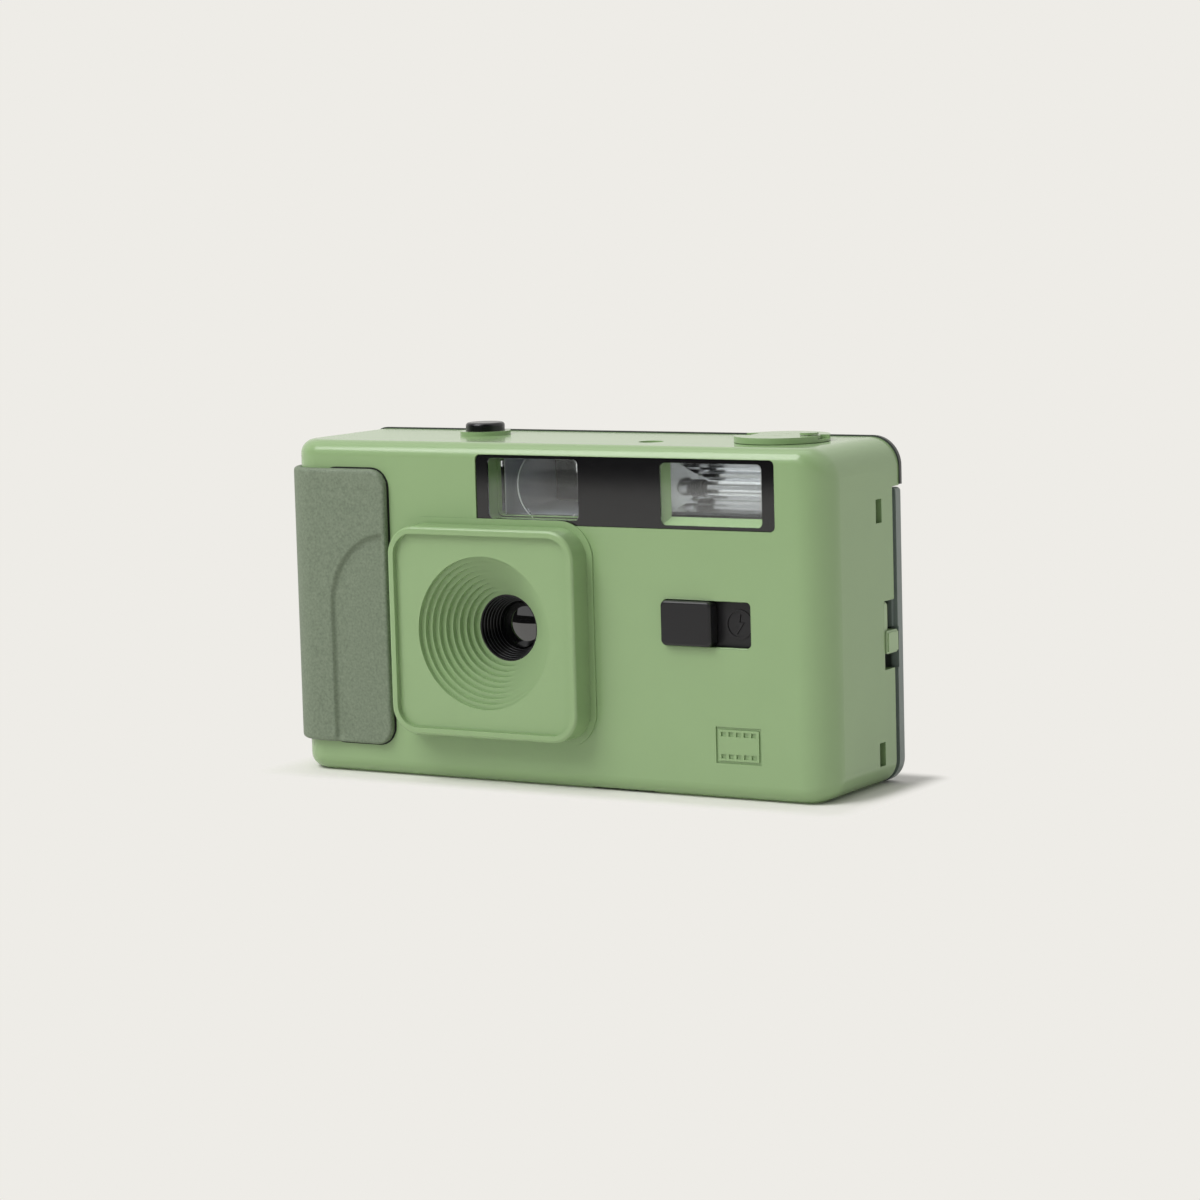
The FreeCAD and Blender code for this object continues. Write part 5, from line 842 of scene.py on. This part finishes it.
def make_floor(colour):
    corners = ((-1, -1), (1, -1), (1, 1), (-1, 1))
    mesh = bpy.data.meshes.new("floor")
    mesh.from_pydata([(FLOOR_REACH * across, FLOOR_REACH * back, FLOOR_LEVEL) for across, back in corners],
                     [], [(0, 1, 2, 3)])
    floor = bpy.data.objects.new("floor", mesh)
    bpy.context.scene.collection.objects.link(floor)
    material, tree = blank_material("matt_paper_backdrop")
    where = add(tree, "ShaderNodeTexCoord")
    side = add(tree, "ShaderNodeVectorMath", {0: (where, "Object")}, operation="ABSOLUTE")
    past = add(tree, "ShaderNodeVectorMath", {0: (side, "Vector"), 1: (*FOOTPRINT, -FLOOR_LEVEL)},
               operation="SUBTRACT")
    outside = add(tree, "ShaderNodeVectorMath", {0: (past, "Vector"), 1: (0, 0, 0)},
                  operation="MAXIMUM")
    away = add(tree, "ShaderNodeVectorMath", {0: (outside, "Vector")}, operation="LENGTH")
    fade = add(tree, "ShaderNodeMapRange",
               {"Value": (away, "Value"), "From Min": 0.0, "From Max": SHADOW_REACH},
               interpolation_type="SMOOTHSTEP")
    rays = add(tree, "ShaderNodeLightPath")
    seen = add(tree, "ShaderNodeMath", {0: (rays, "Is Camera Ray"), 1: (rays, "Is Glossy Ray")},
               operation="MAXIMUM")
    even = add(tree, "ShaderNodeMath", {0: (fade, "Result"), 1: (seen, "Value")},
               operation="MULTIPLY")
    place = add(tree, "ShaderNodeSeparateXYZ", {"Vector": (where, "Object")})
    beyond = add(tree, "ShaderNodeMapRange",
                 {"Value": (place, "Y"), "From Min": TABLE_EDGE - TABLE_BLUR,
                  "From Max": TABLE_EDGE + TABLE_BLUR, "To Min": DIM_ROOM, "To Max": 1.0},
                 interpolation_type="SMOOTHSTEP")
    lit = add(tree, "ShaderNodeMath", {0: (beyond, "Result"), 1: (rays, "Is Camera Ray")},
              operation="MAXIMUM")
    paper = add(tree, "ShaderNodeBsdfDiffuse", {"Color": linear(colour)})
    plain = add(tree, "ShaderNodeEmission", {"Color": linear(colour), "Strength": (lit, "Value")})
    both = add(tree, "ShaderNodeMixShader", {0: (even, "Value"), 1: (paper, "BSDF"), 2: (plain, "Emission")})
    facing = add(tree, "ShaderNodeNewGeometry")
    short = add(tree, "ShaderNodeMath", {0: (rays, "Ray Length"), 1: BASE_LIGHT}, operation="LESS_THAN")
    opened = add(tree, "ShaderNodeMath", {0: (facing, "Backfacing"), 1: (short, "Value")},
                 operation="MAXIMUM")
    through = add(tree, "ShaderNodeBsdfTransparent")
    one_way = add(tree, "ShaderNodeMixShader",
                  {0: (opened, "Value"), 1: (both, "Shader"), 2: (through, "BSDF")})
    add(tree, "ShaderNodeOutputMaterial", {"Surface": (one_way, "Shader")})
    mesh.materials.append(material)


# The room's strength in front of the object and behind it, and where on Y the light and the mirrored
# picture change from the one to the other.
ROOM_FRONT = 0.34
ROOM_BACK = 0.58
ROOM_TURN = (-0.7, 0.7)
MIRROR_TURN = (-0.6, 0.1)


def make_world(seen):
    """Pale surroundings, brighter behind the object than in front; the camera sees one even tone."""
    world = bpy.data.worlds.new("studio")
    bpy.context.scene.world = world
    world.use_nodes = True
    tree = world.node_tree
    tree.nodes.clear()
    where = add(tree, "ShaderNodeTexCoord")
    way = add(tree, "ShaderNodeSeparateXYZ", {"Vector": (where, "Generated")})
    level = add(tree, "ShaderNodeMapRange",
                {"Value": (way, "Y"), "From Min": ROOM_TURN[0], "From Max": ROOM_TURN[1],
                 "To Min": ROOM_FRONT, "To Max": ROOM_BACK}, interpolation_type="SMOOTHSTEP")
    mirrored = add(tree, "ShaderNodeMapRange",
                   {"Value": (way, "Y"), "From Min": MIRROR_TURN[0], "From Max": MIRROR_TURN[1],
                    "To Min": DIM_ROOM, "To Max": 1.0}, interpolation_type="SMOOTHSTEP")
    rays = add(tree, "ShaderNodeLightPath")
    clear_or_camera = add(tree, "ShaderNodeMath",
                          {0: (rays, "Is Camera Ray"), 1: (rays, "Is Transmission Ray")},
                          operation="MAXIMUM")
    direct = add(tree, "ShaderNodeMath", {0: (clear_or_camera, "Value"), 1: (rays, "Is Glossy Ray")},
                 operation="MAXIMUM")
    shine = add(tree, "ShaderNodeMath", {0: (clear_or_camera, "Value"), 1: (mirrored, "Result")},
                operation="MAXIMUM")
    room = add(tree, "ShaderNodeBackground",
               {"Color": linear(ROOM_COLOUR), "Strength": (level, "Result")})
    shown = add(tree, "ShaderNodeBackground", {"Color": linear(seen), "Strength": (shine, "Value")})
    both = add(tree, "ShaderNodeMixShader",
               {0: (direct, "Value"), 1: (room, "Background"), 2: (shown, "Background")})
    add(tree, "ShaderNodeOutputWorld", {"Surface": (both, "Shader")})


# The lamps: name, place, size and power in watts. All of them are white and point at the camera's middle.
LAMPS = (
    ("overhead_softbox", (-0.1, 0.1, 0.9), (0.8, 0.6), 1.2),
    ("key_softbox", (-0.4, -0.62, 0.92), (0.7, 0.7), 8.8),
    ("front_fill", (-0.3, -1.1, 0.62), (1.0, 0.7), 1.3),
)
LAMP_TARGET = (0, 0, 0.03)


def make_lamp(name, place, size, power):
    data = bpy.data.lights.new(name, "AREA")
    data.shape = "RECTANGLE"
    data.size, data.size_y = size
    data.energy = power
    lamp = bpy.data.objects.new(name, data)
    lamp.location = place
    lamp.rotation_euler = (Vector(LAMP_TARGET) - Vector(place)).to_track_quat("-Z", "Y").to_euler()
    bpy.context.scene.collection.objects.link(lamp)


make_camera()
make_floor(BACKGROUND)
make_world(BACKGROUND)
for lamp_values in LAMPS:
    make_lamp(*lamp_values)
bpy.context.scene.view_settings.view_transform = "Standard"
